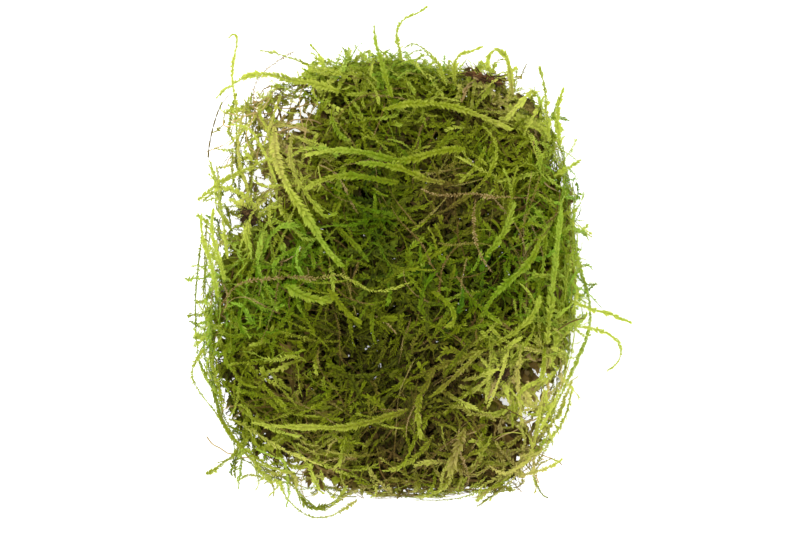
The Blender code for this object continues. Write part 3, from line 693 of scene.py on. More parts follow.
def leaves(bases, forward, upward, lengths, widths, tones):
    """Boat-shaped leaves of four corners: the base, the two sides at two fifths of the length and
    raised by a tenth of it, and the tip. forward runs along each leaf and upward out of its
    face. A leaf is darker at its base and lighter at its tip. Returns places, triangles and
    tones."""
    sideways = unit(np.cross(upward, forward))
    upward = np.cross(forward, sideways)
    length, width = lengths[:, None], widths[:, None]
    waist = bases + forward * length * 0.4 + upward * length * 0.1
    corners = [bases, waist + sideways * width / 2, waist - sideways * width / 2]
    corners.append(bases + forward * length)
    places = np.stack(corners, 1)
    faces = np.arange(len(bases))[:, None, None] * 4 + LEAF_FACES
    spread = np.clip(tones, LEAF_EDGE, 1 - LEAF_EDGE)[:, None] + LEAF_TONES
    return places.reshape(-1, 3), faces.reshape(-1, 3), spread.reshape(-1, 2)


def leafy(rng, lines, outward, tones, look, reach, bare=0):
    """Leaves and stems of shoots. tones holds a tone and a hue for each point of each line.

    Leaves stand at even spaces, each turned about the stem from the last by about half a turn,
    so that most lie in two rows, in the shoot's own plane. They lean out at the look's angle,
    less towards the tip, and shorten towards both ends, and a sine along the shoot swells and
    thins them by a fifth. reach is each shoot's half width, and bare is the share of it, from
    its foot, that has no leaves. A stem tapers to two fifths at its tip, and is darker and
    browner than its leaves.
    """
    count = len(lines)
    share = np.linspace(0, 1, lines.shape[1])
    roll = rng.normal(0, 0.5, (count, 1))
    rolls = roll + rng.normal(0, 0.8, (count, 1)) * share
    axes = line_axes(lines, outward, rolls)
    bare = np.broadcast_to(bare, count)
    lengths = np.linalg.norm(np.diff(lines, axis=1), axis=2).sum(1)
    number = np.maximum(4, lengths * (1 - bare) / (look.spacing / MM) * 2).astype(int)
    shoot = np.repeat(np.arange(count), number)
    rank = np.arange(number.sum()) - np.repeat(np.cumsum(number) - number, number)
    along = (rank + rng.uniform(0.1, 0.9, len(rank))) / number[shoot]
    along = bare[shoot] + (1 - bare[shoot]) * along
    forward, upward, sideways = (unit(sampled(axis, shoot, along)) for axis in axes)
    lean = look.angle * (1.15 - 0.7 * along**3) + rng.normal(0, 0.13, len(rank))
    turn = (rank % 2) * math.pi + rng.normal(0, 0.55, len(rank))
    outwards = sideways * np.cos(turn)[:, None] + upward * np.sin(turn)[:, None]
    heading = forward * np.cos(lean)[:, None] + outwards * np.sin(lean)[:, None]
    swells = rng.uniform(1.5, 4.5, count)[shoot] * along + rng.random(count)[shoot]
    size = reach[shoot] / math.sin(look.angle) * (1 + 0.2 * np.sin(2 * math.pi * swells))
    size *= rng.uniform(0.75, 1.25, len(rank))
    ends = smooth_step((1.03 - along) * 9) * smooth_step(0.3 + (along - bare[shoot]) * 4)
    size *= 0.6 + 0.4 * ends
    colour = sampled(tones, shoot, along) + rng.normal(0, (0.045, 0.03), (len(rank), 2))
    bases = sampled(lines, shoot, along)
    blades = leaves(bases, heading, upward, size, size * look.width, colour)
    radii = look.stem / MM * (1 - 0.6 * share) * (0.7 + 0.5 * reach[:, None])
    radii = radii * rng.uniform(0.75, 1.25, radii.shape)
    speckled = tones + rng.normal(0, (0.05, 0.02), tones.shape)
    stalk = stems(lines, axes, radii, speckled - np.array((0.12, -0.08)) / look.core)
    return joined([blades, stalk])


def joined(parts):
    """Parts of places, triangles and tones as one, with the triangles renumbered."""
    firsts = np.cumsum([0] + [len(part[0]) for part in parts[:-1]])
    return (
        np.concatenate([part[0] for part in parts]),
        np.concatenate([part[1] + first for part, first in zip(parts, firsts)]),
        np.concatenate([part[2] for part in parts]),
    )


def shoot_tones(field, rng, lines, brown=0.0, chance=1.0):
    """Tone and hue of each point of each line.

    Tone rises towards the skin and falls with depth: painted shade inside the mat. It rises at
    the mat's edge: a painted glow, as of light through thin moss. It rises towards the shoot's tip,
    and falls low on the sides under the rim: painted shade there. Hue goes brown with depth and
    towards the shoot's foot. The patches shift both, and so does chance, by so much for each shoot.
    brown is the share of dead shoots.
    """
    count, points = lines.shape[:2]
    flat = lines.reshape(-1, 3)
    depth = field.depth(flat).reshape(count, points)
    edge = field.edge(flat).reshape(count, points)
    share = np.linspace(0, 1, points)
    # near drives painted shade in the tone (darker deeper) and real browning in the hue
    near = smooth_step((depth + 5) / 5.2)
    # edge * near: painted glow, lighter tone at the mat's edge as of light through thin moss
    tone = 0.17 + 0.29 * near + 0.33 * edge * near + 0.14 * (share - 0.5)
    hue = 0.36 - 0.32 * near - 0.20 * edge - 0.18 * (share - 0.5)
    for x, y, radius, tone_change, hue_change in PATCHES:
        close = np.exp(-((lines[..., 0] - x) ** 2 + (lines[..., 1] - y) ** 2) / radius**2)
        tone = tone + tone_change * close
        hue = hue + hue_change * close
    # painted shade: tone falls on the low sides, below the rim's height
    shade = 0.12 * smooth_step(1 - lines[..., 2] / field.rim_height)
    tone = tone - shade + rng.normal(0, 0.12 * chance, count)[:, None]
    hue = hue + rng.normal(0, 0.17 * chance, count)[:, None]
    dead = (rng.random(count) < brown)[:, None]
    hue = np.where(dead, rng.uniform(0.75, 1.0, count)[:, None], hue)
    return np.stack([tone, 0.5 + 0.5 * np.clip(hue, -0.95, 0.95)], -1)


# Shapes of litter


def waves(rng, points, lengths, octaves=4):
    """Rough noise at points: each octave is the mean of six sines of the distance along random
    ways, each half as long and three fifths as high as the last. lengths has the longest wave
    along each axis."""
    total = 0
    for octave in range(octaves):
        ways = unit(rng.normal(size=(6, points.shape[-1]))) / np.array(lengths) * 2**octave
        phases = rng.uniform(0, 2 * math.pi, 6)
        total = total + 0.6**octave * np.sin(2 * math.pi * points @ ways.T + phases).mean(-1)
    return total


class Outline:
    """A flat CAD piece read along its own length: its middle, its axes and its spans."""

    def __init__(self, name):
        corners, faces = node_mesh(name)
        self.middle = (corners.min(0) + corners.max(0)) / 2
        flat = corners[:, :2] - corners[:, :2].mean(0)
        long_way = np.linalg.eigh(flat.T @ flat)[1][:, -1]
        long_way = long_way * (1 if long_way[0] > 0 else -1)
        self.forward = np.array([*long_way, 0])
        self.upward = np.array([0, 0, 1.0])
        self.sideways = np.cross(self.forward, self.upward)
        self.axes = np.stack([self.forward, self.sideways, self.upward])
        self.corners = (corners - self.middle) @ self.axes.T
        self.edges = np.concatenate([faces[:, [0, 1]], faces[:, [1, 2]], faces[:, [2, 0]]])
        self.ends = self.corners[:, 0].min(), self.corners[:, 0].max()

    def spans(self, stations):
        """Lowest and highest value across and upwards where the plane at each station cuts the
        piece's edges."""
        starts, stops = self.corners[self.edges[:, 0]], self.corners[self.edges[:, 1]]
        run = stops[:, 0] - starts[:, 0]
        part = (stations[:, None] - starts[:, 0]) / np.where(np.abs(run) < 1e-6, 1e-6, run)
        cut = starts + (stops - starts) * part[..., None]
        missed = ((part < 0) | (part > 1))[..., None]
        low = np.where(missed, np.inf, cut).min(1)[:, 1:]
        high = np.where(missed, -np.inf, cut).max(1)[:, 1:]
        return low, high

    def placed(self, points):
        """Points given along, across and up the piece, in the mat's own axes."""
        return points @ self.axes + self.middle


def ring_charts(rows, sides):
    """For each corner of a tube of rings: its share along, and how far round from one edge of
    the ring, over the top, to the other: 0 to 1 and back underneath."""
    along = np.repeat(np.linspace(0, 1, rows)[:, None], sides, 1)
    angles = np.arange(sides) * 2 * math.pi / sides
    across = np.repeat((0.5 - 0.5 * np.cos(angles))[None], rows, 0)
    return np.stack([along, across], -1).reshape(-1, 2)


def wisps(rng, starts, headings, lengths, radii, tone, wander, points):
    """Thin closed tapering stems that leave starts along headings. At every point each heading
    gains a normal vector with a spread of 0.35 times wander. Returns places, triangles and
    tones."""
    turns = np.cumsum(rng.normal(0, wander, (len(starts), points, 3)), axis=1) * 0.35
    ways = unit(headings[:, None] + turns)
    steps = ways[:, :-1] * (lengths / (points - 1))[:, None, None]
    walk = np.concatenate([np.zeros((len(starts), 1, 3)), np.cumsum(steps, axis=1)], axis=1)
    lines = starts[:, None] + walk
    axes = line_axes(lines, np.array([0.1, 0.1, 1.0]), np.zeros(lines.shape[:2]))
    taper = radii[:, None] * (1 - 0.75 * np.linspace(0, 1, points))
    tones = np.full((*lines.shape[:2], 2), tone)
    return stems(lines, axes, taper, tones, sides=4)


def bark_shape(rng, outline):
    """A splintered flake: rings along the middle 62% of the CAD flake, half as wide as it and
    notched by noise, whose half thickness swells with ridges that run along the grain: 0.42 +
    0.45 noise across, drawn out ten times along. Splinters lie over it and past its ends."""
    rows, sides = 96, 40
    stations = np.linspace(*outline.ends, rows + 2)[1:-1] * 0.62
    low, high = outline.spans(stations)
    angles = np.arange(sides) * 2 * math.pi / sides
    ragged = 0.5 * (1 + 0.45 * waves(rng, stations[:, None], [1.6]))
    half = (high - low) / 2 * ragged[:, None]
    middle = (high + low) / 2
    across = middle[:, :1] + half[:, :1] * np.sign(np.cos(angles)) * np.abs(np.cos(angles)) ** 0.8
    along = np.repeat(stations[:, None], sides, 1)
    grain = waves(rng, np.stack([along, across], -1), [9.0, 0.9], octaves=5)
    lift = np.sin(angles) * (0.42 + 0.45 * grain) + 0.35 * grain
    up = middle[:, 1:] + lift + 0.4 * waves(rng, stations[:, None], [5.0])[:, None]
    rings = outline.placed(np.stack([along, across, up], -1))
    flake = rings.reshape(-1, 3), tube_faces(1, rows, sides), ring_charts(rows, sides)
    count = 90  # splinters
    reach = outline.ends[1] * rng.uniform(-0.6, 0.6, count)
    starts = np.stack([reach, rng.uniform(-1.1, 1.1, count), rng.uniform(-0.3, 0.5, count)], 1)
    ends = np.sign(reach + rng.normal(0, 1.5, count))
    ways = np.stack([ends, rng.normal(0, 0.5, count), rng.normal(0.1, 0.25, count)], 1)
    lengths = rng.uniform(1.5, 4.2, count)
    radii = rng.uniform(0.05, 0.17, count)
    starts, ways = outline.placed(starts), ways @ outline.axes
    splinters = wisps(rng, starts, ways, lengths, radii, tone=0.35, wander=0.4, points=8)
    return joined([flake, splinters])


def leaf_shape(rng, outline):
    """A dead leaf rolled about its length: rings along nine tenths of the CAD leaf, half as wide
    as it, whose section is a thin lens bent into an arc of 120° at one end and 250° at the
    other. A rib runs along the middle, side veins lift the blade by 0.05 mm, and noise notches
    and crumples it."""
    rows, sides = 72, 36
    stations = np.linspace(*outline.ends, rows + 2)[1:-1]
    low, high = outline.spans(stations)
    stations = stations * 0.9
    half = (high[:, :1] - low[:, :1]) / 2 * 0.5
    middle = (high[:, :1] + low[:, :1]) / 2
    angles = np.arange(sides) * 2 * math.pi / sides
    share = np.cos(angles) * np.ones((rows, 1))
    along = np.linspace(0, 1, rows)[:, None]
    arc = np.radians(60 + 65 * smooth_step(along))
    crinkle = waves(rng, np.stack([along * 7 + 0 * share, share * 2], -1), [2.5, 1.4])
    half = half * (1 + 0.5 * waves(rng, along * 7, [1.3]))[:, None]
    radius = half / np.sin(np.minimum(arc, math.pi / 2))
    veins = 0.05 * np.cos(2 * math.pi * (along * 9 - 2.2 * np.abs(share)))
    rib = 0.12 * np.exp(-((share / 0.07) ** 2))
    wall = 0.09 * np.sin(angles) + 0.02 * np.sign(np.sin(angles))
    depth = radius - wall - (veins + rib) * np.maximum(np.sin(angles), 0)
    across = middle + depth * np.sin(arc * share)
    base = -0.9 + 0.5 * np.sin(math.pi * along)
    up = base + radius - depth * np.cos(arc * share) + 0.8 * crinkle
    points = np.stack([np.repeat(stations[:, None], sides, 1), across, up], -1)
    rings = outline.placed(points)
    return rings.reshape(-1, 3), tube_faces(1, rows, sides), ring_charts(rows, sides)


def lump_shape(rng, low, high, rows=26, sides=32, rough=0.9):
    """A crumbly lump that fills a box: a ball of rings, from pole to pole, with its radius
    swelled by 1 + rough times noise, whose longest wave is 1.3 times half the box."""
    middle, half = (low + high) / 2, (high - low) / 2
    turn = np.linspace(0.02, math.pi - 0.02, rows)[:, None]
    angles = np.arange(sides) * 2 * math.pi / sides
    across, up = -np.sin(turn) * np.cos(angles), np.sin(turn) * np.sin(angles)
    ball = np.stack([-np.cos(turn) + 0 * angles, across, up], -1)
    swell = 1 + rough * waves(rng, ball * half, half * 1.3, octaves=5)
    rings = middle + ball * half * swell[..., None]
    return rings.reshape(-1, 3), tube_faces(1, rows, sides), ring_charts(rows, sides)


def rootlets(rng, middle, count, lengths):
    """Wiry dark rootlets that leave the neighbourhood of a middle point all round, mostly
    level."""
    angle = rng.uniform(0, 2 * math.pi, count)
    ways = np.concatenate([around(angle), rng.normal(0.25, 0.25, (count, 1))], 1)
    starts = middle + rng.normal(0, 0.8, (count, 3)) * (1, 1, 0.4)
    lengths = rng.uniform(*lengths, count)
    radii = rng.uniform(0.05, 0.15, count)
    return wisps(rng, starts, ways, lengths, radii, tone=0.3, wander=0.9, points=12)


# Pieces


def pressed(places):
    """Places with those under 1.2 mm pressed up to stay over the resting face: such a height
    becomes 0.1 + 1.1 exp((height - 1.2) / 1.1)."""
    places = places.copy()
    least, room = 0.1, PRESSED_UNDER - 0.1
    low = np.minimum(places[:, 2], PRESSED_UNDER)
    places[:, 2] += least + room * np.exp((low - PRESSED_UNDER) / room) - low
    return places


def add_piece(name, finish, shape, chart=COLOUR_MAP, smooth=False):
    """A mesh object of these places, triangles and tones, riding on the clump's body. The tones
    go into the UV map that chart names."""
    places, faces, tones = shape
    places = pressed(places)
    mesh = bpy.data.meshes.new(name)
    mesh.vertices.add(len(places))
    mesh.vertices.foreach_set("co", (places * MM).astype(np.float32).ravel())
    mesh.loops.add(faces.size)
    mesh.loops.foreach_set("vertex_index", faces.astype(np.int32).ravel())
    mesh.polygons.add(len(faces))
    mesh.polygons.foreach_set("loop_start", np.arange(0, faces.size, 3, dtype=np.int32))
    mesh.polygons.foreach_set("use_smooth", np.full(len(faces), smooth))
    colours = mesh.uv_layers.new(name=chart)
    colours.data.foreach_set("uv", tones[faces.ravel()].ravel())
    mesh.update(calc_edges=True)
    piece = bpy.data.objects.new(name, mesh)
    bpy.context.scene.collection.objects.link(piece)
    mesh.materials.append(finish)
    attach(piece, BODY)
    return piece


def add_litter(name, finish, shape):
    """A piece of litter that stands for its CAD node, shaded smooth."""
    piece = add_piece("loose_" + name, finish, shape, chart=LITTER_MAP, smooth=True)
    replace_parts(piece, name)


# Finishes


def node_link(tree, kind, **inputs):
    """A new shader node whose inputs are set to values or joined to other nodes' sockets. Each
    is named with _ for a space, or as _0 and so on by its number."""
    node = tree.nodes.new(kind)
    for name, value in inputs.items():
        number = name.removeprefix("_")
        socket = node.inputs[int(number) if number.isdigit() else name.replace("_", " ")]
        if isinstance(value, bpy.types.NodeSocket):
            tree.links.new(value, socket)
        else:
            socket.default_value = value
    return node


def colour_ramp(tree, factor, stops):
    """A colour ramp over factor with a stop at each (place, colour)."""
    node = node_link(tree, "ShaderNodeValToRGB", Fac=factor)
    stops = [(place, (*colour[:3], 1.0)) for place, colour in stops]
    ramp = node.color_ramp
    ramp.elements[0].position, ramp.elements[0].color = stops[0]
    ramp.elements[1].position, ramp.elements[1].color = stops[-1]
    for place, colour in stops[1:-1]:
        ramp.elements.new(place).color = colour
    return node.outputs["Color"]


def blend_colours(tree, factor, first, second):
    """The first colour turning into the second as factor goes from 0 to 1. They are inputs 0, 6
    and 7 of a mix of colours, and its result is output 2."""
    node = tree.nodes.new("ShaderNodeMix")
    node.data_type = "RGBA"
    for socket, value in zip((node.inputs[0], node.inputs[6], node.inputs[7]), (factor, first, second)):
        tree.links.new(value, socket)
    return node.outputs[2]


def part_range(tree, value, low, high):
    """How far value is from low to high, from 0 to 1."""
    node = node_link(tree, "ShaderNodeMapRange", Value=value, From_Min=low, From_Max=high)
    return node.outputs["Result"]


def shaded(name, translucent):
    """A new material, its shader and, unless that share is 0, a translucent shader mixed in."""
    material = bpy.data.materials.new(name)
    material.use_nodes = True
    tree = material.node_tree
    tree.nodes.clear()
    shader = tree.nodes.new("ShaderNodeBsdfPrincipled")
    surface = shader.outputs["BSDF"]
    through = None
    if translucent:
        through = tree.nodes.new("ShaderNodeBsdfTranslucent")
        mixed = tree.nodes.new("ShaderNodeMixShader")
        mixed.inputs["Fac"].default_value = translucent
        tree.links.new(surface, mixed.inputs[1])
        tree.links.new(through.outputs["BSDF"], mixed.inputs[2])
        surface = mixed.outputs["Shader"]
    output = tree.nodes.new("ShaderNodeOutputMaterial")
    tree.links.new(surface, output.inputs["Surface"])
    return material, shader, through


def ramp_of(tree, factor, kind):
    """The colour settings of a kind, from its dark to its light one, over factor."""
    colours = bpy.context.scene.moss_colours
    places = zip((0.0, 0.5, 1.0), ("dark", "middle", "light"))
    return colour_ramp(tree, factor, [(at, getattr(colours, f"{kind}_{tint}")) for at, tint in places])


def moss_finish():
    """Moist moss, coloured by its map: tone runs dark to light along three ramps, emerald,
    yellow-green and brown, and hue blends from one ramp to the next. Lighter moss is a little
    glossier, and part of the light goes through the leaves."""
    finish = bpy.data.materials.get("moist moss")
    if finish:
        return finish
    look = bpy.context.scene.moss_look
    finish, shader, through = shaded("moist moss", look.translucent)
    tree = finish.node_tree
    source = node_link(tree, "ShaderNodeUVMap")
    source.uv_map = COLOUR_MAP
    split = node_link(tree, "ShaderNodeSeparateXYZ", Vector=source.outputs["UV"])
    tone, hue = split.outputs["X"], split.outputs["Y"]
    emerald, live, dead = (ramp_of(tree, tone, kind) for kind in ("emerald", "live", "dead"))
    greener = blend_colours(tree, part_range(tree, hue, 0.08, 0.45), emerald, live)
    colour = blend_colours(tree, part_range(tree, hue, 0.55, 0.9), greener, dead)
    tree.links.new(colour, shader.inputs["Base Color"])
    tree.links.new(colour, through.inputs["Color"])
    gloss = node_link(tree, "ShaderNodeMapRange", Value=tone, To_Min=look.wet + 0.2, To_Max=look.wet)
    tree.links.new(gloss.outputs["Result"], shader.inputs["Roughness"])
    shader.inputs["Specular IOR Level"].default_value = 0.08
    return finish


def litter_finish(kind, grain, turn=0.0, top=0.5, roughness=(0.95, 0.6), relief=0.4):
    """A rough finish between the kind's dark and light colours.

    Noise on Object coordinates, turned about Z and repeated grain times a metre along each axis,
    gives the fibre or crumb. top is the share that the place on the piece has in the colour, so
    that one edge is lighter than the other.
    """
    finish, shader, _ = shaded(kind.replace("_", " "), 0)
    tree = finish.node_tree
    place = node_link(tree, "ShaderNodeTexCoord")
    turned = node_link(tree, "ShaderNodeMapping", Vector=place.outputs["Object"], Scale=grain)
    turned.inputs["Rotation"].default_value = (0, 0, turn)
    noise = node_link(
        tree, "ShaderNodeTexNoise", Vector=turned.outputs["Vector"], Scale=1.0, Detail=5.0,
        Roughness=0.65,
    )  # fmt: skip
    fibre = part_range(tree, noise.outputs["Fac"], 0.3, 0.7)
    chart = node_link(tree, "ShaderNodeUVMap")
    chart.uv_map = LITTER_MAP
    across = node_link(tree, "ShaderNodeSeparateXYZ", Vector=chart.outputs["UV"]).outputs["Y"]
    weighted = node_link(tree, "ShaderNodeMapRange", Value=across, To_Min=-top, To_Max=top)
    tone = node_link(tree, "ShaderNodeMath", _0=fibre, _1=weighted.outputs["Result"])
    colour = ramp_of(tree, tone.outputs["Value"], kind)
    tree.links.new(colour, shader.inputs["Base Color"])
    dull = node_link(
        tree, "ShaderNodeMapRange", Value=fibre, To_Min=roughness[0], To_Max=roughness[1]
    )
    tree.links.new(dull.outputs["Result"], shader.inputs["Roughness"])
    bump = node_link(
        tree, "ShaderNodeBump", Strength=relief, Distance=0.2 * MM, Height=noise.outputs["Fac"]
    )
    tree.links.new(bump.outputs["Normal"], shader.inputs["Normal"])
    shader.inputs["Specular IOR Level"].default_value = 0.1
    return finish


# Settings


def a_size(name, description, millimetres):
    """A length, given in millimetres and kept in metres."""
    return FloatProperty(
        name=name, description=description, default=millimetres * MM, unit="LENGTH", precision=5
    )


def a_count(name, description, count):
    """A number of things, at least one."""
    return IntProperty(name=name, description=description, default=count, min=1)


def a_share(name, description, default):
    """A part of the whole, from 0 to 1."""
    return FloatProperty(name=name, description=description, default=default, subtype="FACTOR")


def an_angle(name, description, degrees):
    """An angle, given in degrees and kept in radians."""
    return FloatProperty(
        name=name, description=description, default=math.radians(degrees), unit="ROTATION"
    )


def a_colour(name, description, *values):
    """A colour, given as linear red, green and blue."""
    return FloatVectorProperty(
        name=name, description=description, default=values, subtype="COLOR", min=0, max=1
    )


class MossLook(bpy.types.PropertyGroup):
    """The make of a leafy shoot."""

    reach: a_size("Reach", "Half of a leafy shoot's width", 0.6)
    spacing: a_size("Spacing", "Space between leaves of one row", 0.46)
    angle: an_angle("Angle", "How far a leaf leans out from the stem", 44)
    width: a_share("Width", "A leaf's width as a share of its length", 0.38)
    stem: a_size("Stem", "A stem's radius", 0.11)
    fibre: a_size("Fibre", "Radius of the thickest bare dead stems inside the mat", 0.42)
    straw: a_size("Straw", "Half width of the pale withered shoots on the mat", 0.32)
    wet: a_share("Wet", "Roughness of the lightest moss: lower is wetter", 0.3)
    translucent: a_share("Translucent", "Share of light that goes through a leaf", 0.4)


class MossMatSettings(bpy.types.PropertyGroup):
    """How many shoots make up the mat."""

    seed: IntProperty(name="Seed", description="Chooses the tangle", default=7)
    runs: a_count("Runs", "Long shoots lying at the top", 320)
    tangle: a_count("Tangle", "Short winding shoots between those", 1100)
    under: a_count("Under", "Coarser shoots below them", 1400)
    crown: a_count("Crown", "Short shoots that stand out of the rim's far end", 110)
    sprigs: a_count("Sprigs", "Short shoots that stand out of the rim", 220)
    sides: a_count("Sides", "Shoots round the sides, in each of two layers", 300)
    base: a_count("Base", "Shoots on the resting face", 360)
    fibres: a_count("Fibres", "Bare dead stems inside", 600)
    scraps: a_count("Scraps", "Old leaves lying loose inside", 19000)
    straws: a_count("Straws", "Pale withered shoots among the top ones", 150)


class MossColours(bpy.types.PropertyGroup):
    """Dark, middle and light colour of each kind of growth and litter."""

    # The dark end of each moss ramp shows mostly where shoot_tones paints shade deep in the mat and low
    # on the sides, and the light end at tips and where it paints a glow at the mat's edge.
    emerald_dark: a_colour("Emerald, dark", "Fresh shoots in shade", 0.018, 0.045, 0.003)
    emerald_middle: a_colour("Emerald", "Fresh shoots", 0.13, 0.30, 0.005)
    emerald_light: a_colour("Emerald, light", "Tips of fresh shoots", 0.41, 0.62, 0.06)
    live_dark: a_colour("Live, dark", "Live shoots in shade", 0.040, 0.045, 0.004)
    live_middle: a_colour("Live", "Live shoots", 0.255, 0.31, 0.007)
    live_light: a_colour("Live, light", "Tips of live shoots", 0.70, 0.76, 0.12)
    dead_dark: a_colour("Dead, dark", "Dead stems in shade", 0.030, 0.021, 0.006)
    dead_middle: a_colour("Dead", "Dead stems", 0.23, 0.15, 0.035)
    dead_light: a_colour("Dead, light", "Dry straw-coloured stems", 0.72, 0.56, 0.24)
    bark_dark: a_colour("Bark, dark", "Hollows and the underside of the bark", 0.012, 0.007, 0.004)
    bark_middle: a_colour("Bark", "Bark", 0.085, 0.042, 0.014)
    bark_light: a_colour("Bark, light", "The worn edge of the bark", 0.26, 0.13, 0.05)
    leaf_dark: a_colour("Leaf, dark", "The dark end of the dead leaf", 0.030, 0.026, 0.009)
    leaf_middle: a_colour("Leaf", "The dead leaf", 0.17, 0.135, 0.030)
    leaf_light: a_colour("Leaf, light", "Its dry veins", 0.36, 0.29, 0.07)
    peat_dark: a_colour("Peat, dark", "Hollows of the crumb and the knot", 0.006, 0.004, 0.002)
    peat_middle: a_colour("Peat", "The crumb", 0.034, 0.019, 0.007)
    peat_light: a_colour("Peat, light", "Bits in the crumb", 0.15, 0.09, 0.03)


class MossStageSettings(bpy.types.PropertyGroup):
    """The floor, the light and the camera."""

    floor: a_colour("Floor", "Colour of the floor", 0.92, 0.92, 0.92)
    glow: FloatProperty(name="Glow", description="Light that the floor gives off", default=0.55)
    dome: FloatProperty(name="Dome", description="Strength of light from all round", default=1.5)
    softbox: FloatProperty(
        name="Softbox", description="Power of the overhead lamp", default=2.0, unit="POWER"
    )
    elevation: an_angle("Elevation", "The camera's angle above the floor", 82)
    distance: a_size("Distance", "From the camera to the clump", 700)
    width: a_size("View width", "Width of the view at the clump", 195)


# Growth of whole pieces


class Look:
    """A look with factors on it: coarse on the space between leaves, and by less on their length
    and width, broad on their width, and core on the radius of stems."""

    def __init__(self, look, coarse, broad=1.0, core=1.0):
        self.reach = look.reach * (1 + 0.3 * (coarse - 1))
        self.spacing = look.spacing * coarse
        self.angle = look.angle
        self.width = look.width * (1 + 0.5 * max(coarse - 1, 0)) * broad
        self.stem = look.stem * core
        self.core = core


def bare_stems(field, rng, lines, thickest, tones):
    """Bare tubes along lines, each of its own radius, from two fifths of the thickest up, and
    thinner by three tenths at its end."""
    outward = field.outward(lines)
    axes = line_axes(lines, outward, np.zeros(lines.shape[:2]))
    radii = np.full(lines.shape[:2], thickest / MM) * rng.uniform(0.4, 1, (len(lines), 1))
    return stems(lines, axes, radii * (1 - 0.3 * np.linspace(0, 1, lines.shape[1])), tones)


def mat_shoots(field, rng, lines, look, layer):
    """Leafy shoots of a layer of the mat. Three tenths of them are bare at the foot, and brown
    ones are half as wide."""
    count = len(lines)
    outward = field.outward(lines)
    tones = shoot_tones(field, rng, lines, layer.brown)
    bare = np.where(rng.random(count) < 0.3, rng.uniform(0.1, 0.6, count), 0)
    made = Look(look, layer.coarse, core=layer.core)
    withered = tones[:, 0, 1] > 0.85
    reach = rng.normal(made.reach / MM, 0.16, count).clip(0.35, 1.2)
    reach = reach * np.where(withered, 0.5, 1)
    return leafy(rng, lines, outward, tones, made, reach, bare)


def scraps(field, rng, count):
    """Old leaves lying inside the mat, mostly level, each at its own depth and turn."""
    places = field.settle(field.seeds(rng, count, "all"), rng.uniform(-12, -4, count))
    places = places[kept_share(places) ** 2.2 > rng.random(count)]
    places[:, 2] = np.maximum(places[:, 2], 1)
    count = len(places)
    ways = unit(rng.normal(0, 1, (count, 3)) * (1, 1, 0.35))
    up = unit(rng.normal(0, 0.5, (count, 3)) + (0, 0, 1))
    tones = shoot_tones(field, rng, places[:, None], 0.35)[:, 0] + (0.05, 0.06)
    lengths = rng.uniform(2.4, 4.5, count)
    return leaves(places, ways, up, lengths, lengths * rng.uniform(0.4, 0.65, count), tones)


def add_mat_pieces(context, layers, seed, pieces):
    """Grows layers and deals their lines out to pieces of the mat.

    pieces gives each piece's name and where the middles of its lines are: left (-1) or right (1)
    of the mat's middle, and in front of it (-1) or behind it (1). 0 takes either side.
    """
    settings, look = context.scene.moss_mat, context.scene.moss_look
    rng = np.random.default_rng(settings.seed + seed)
    field = mat_field()
    grown = [grown_layer(field, rng, layer, getattr(settings, layer.count)) for layer in layers]
    for name, *sides in pieces:
        parts = []
        for lines, layer in zip(grown, layers):
            middles = lines[:, lines.shape[1] // 2, :2]
            chosen = (middles * sides >= 0).all(1)
            parts.append(mat_shoots(field, rng, lines[chosen], look, layer))
        piece = add_piece(name, moss_finish(), joined(parts))
        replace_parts(piece, MAT)


# Operators


class MOSS_OT_mat_top(bpy.types.Operator):
    """Grow the shoots of the mat's top, in four quarters"""

    bl_idname = "moss.mat_top"
    bl_label = "Mat top"

    def execute(self, context):
        quarters = (
            ("mat_top_left", -1, 1),
            ("mat_top_right", 1, 1),
            ("mat_low_left", -1, -1),
            ("mat_low_right", 1, -1),
        )
        add_mat_pieces(context, TOP_LAYERS, 0, quarters)
        return {"FINISHED"}


class MOSS_OT_mat_sides(bpy.types.Operator):
    """Grow the shoots that wrap the mat's sides, in two halves"""

    bl_idname = "moss.mat_sides"
    bl_label = "Mat sides"

    def execute(self, context):
        halves = (("mat_left_side", -1, 0), ("mat_right_side", 1, 0))
        add_mat_pieces(context, SIDE_LAYERS, 1, halves)
        return {"FINISHED"}


class MOSS_OT_strands(bpy.types.Operator):
    """Lay the strands across the mat's open corner and along its rim"""

    bl_idname = "moss.strands"
    bl_label = "Corner and rim strands"

    def execute(self, context):
        look = context.scene.moss_look
        rng = np.random.default_rng(context.scene.moss_mat.seed + 5)
        field = mat_field()
        for name, routes, widths in (
            ("corner", CORNER_STRANDS, (0.45, 0.85)),
            ("rim", RIM_STRANDS, (0.45, 0.9)),
        ):
            strays, brown = stray_strands(field, rng, STRAYS[name])
            carriers = [carrier_strands(field, rng, litter) for litter in CARRIED[name]]
            lines = np.concatenate([laid_strands(field, rng, routes), strays[~brown], *carriers])
            outward = field.outward(lines)
            tones = shoot_tones(field, rng, lines) + (0.07, 0)
            reach = rng.uniform(*widths, len(lines))
            leafed = leafy(rng, lines, outward, tones, Look(look, 0.85, 1.4, 1.7), reach)
            tones = np.clip(shoot_tones(field, rng, strays[brown], 1.0) + (0.1, 0), 0.25, 1)
            bare = bare_stems(field, rng, strays[brown], look.fibre * 0.6, tones)
            shape = joined([leafed, bare])
            piece = add_piece("mat_strands_" + name, moss_finish(), shape)
            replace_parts(piece, MAT)
        return {"FINISHED"}


class MOSS_OT_mat_base(bpy.types.Operator):
    """Grow the shoots of the resting face"""

    bl_idname = "moss.mat_base"
    bl_label = "Mat base"

    def execute(self, context):
        add_mat_pieces(context, BASE_LAYERS, 2, [("mat_base", 0, 0)])
        return {"FINISHED"}


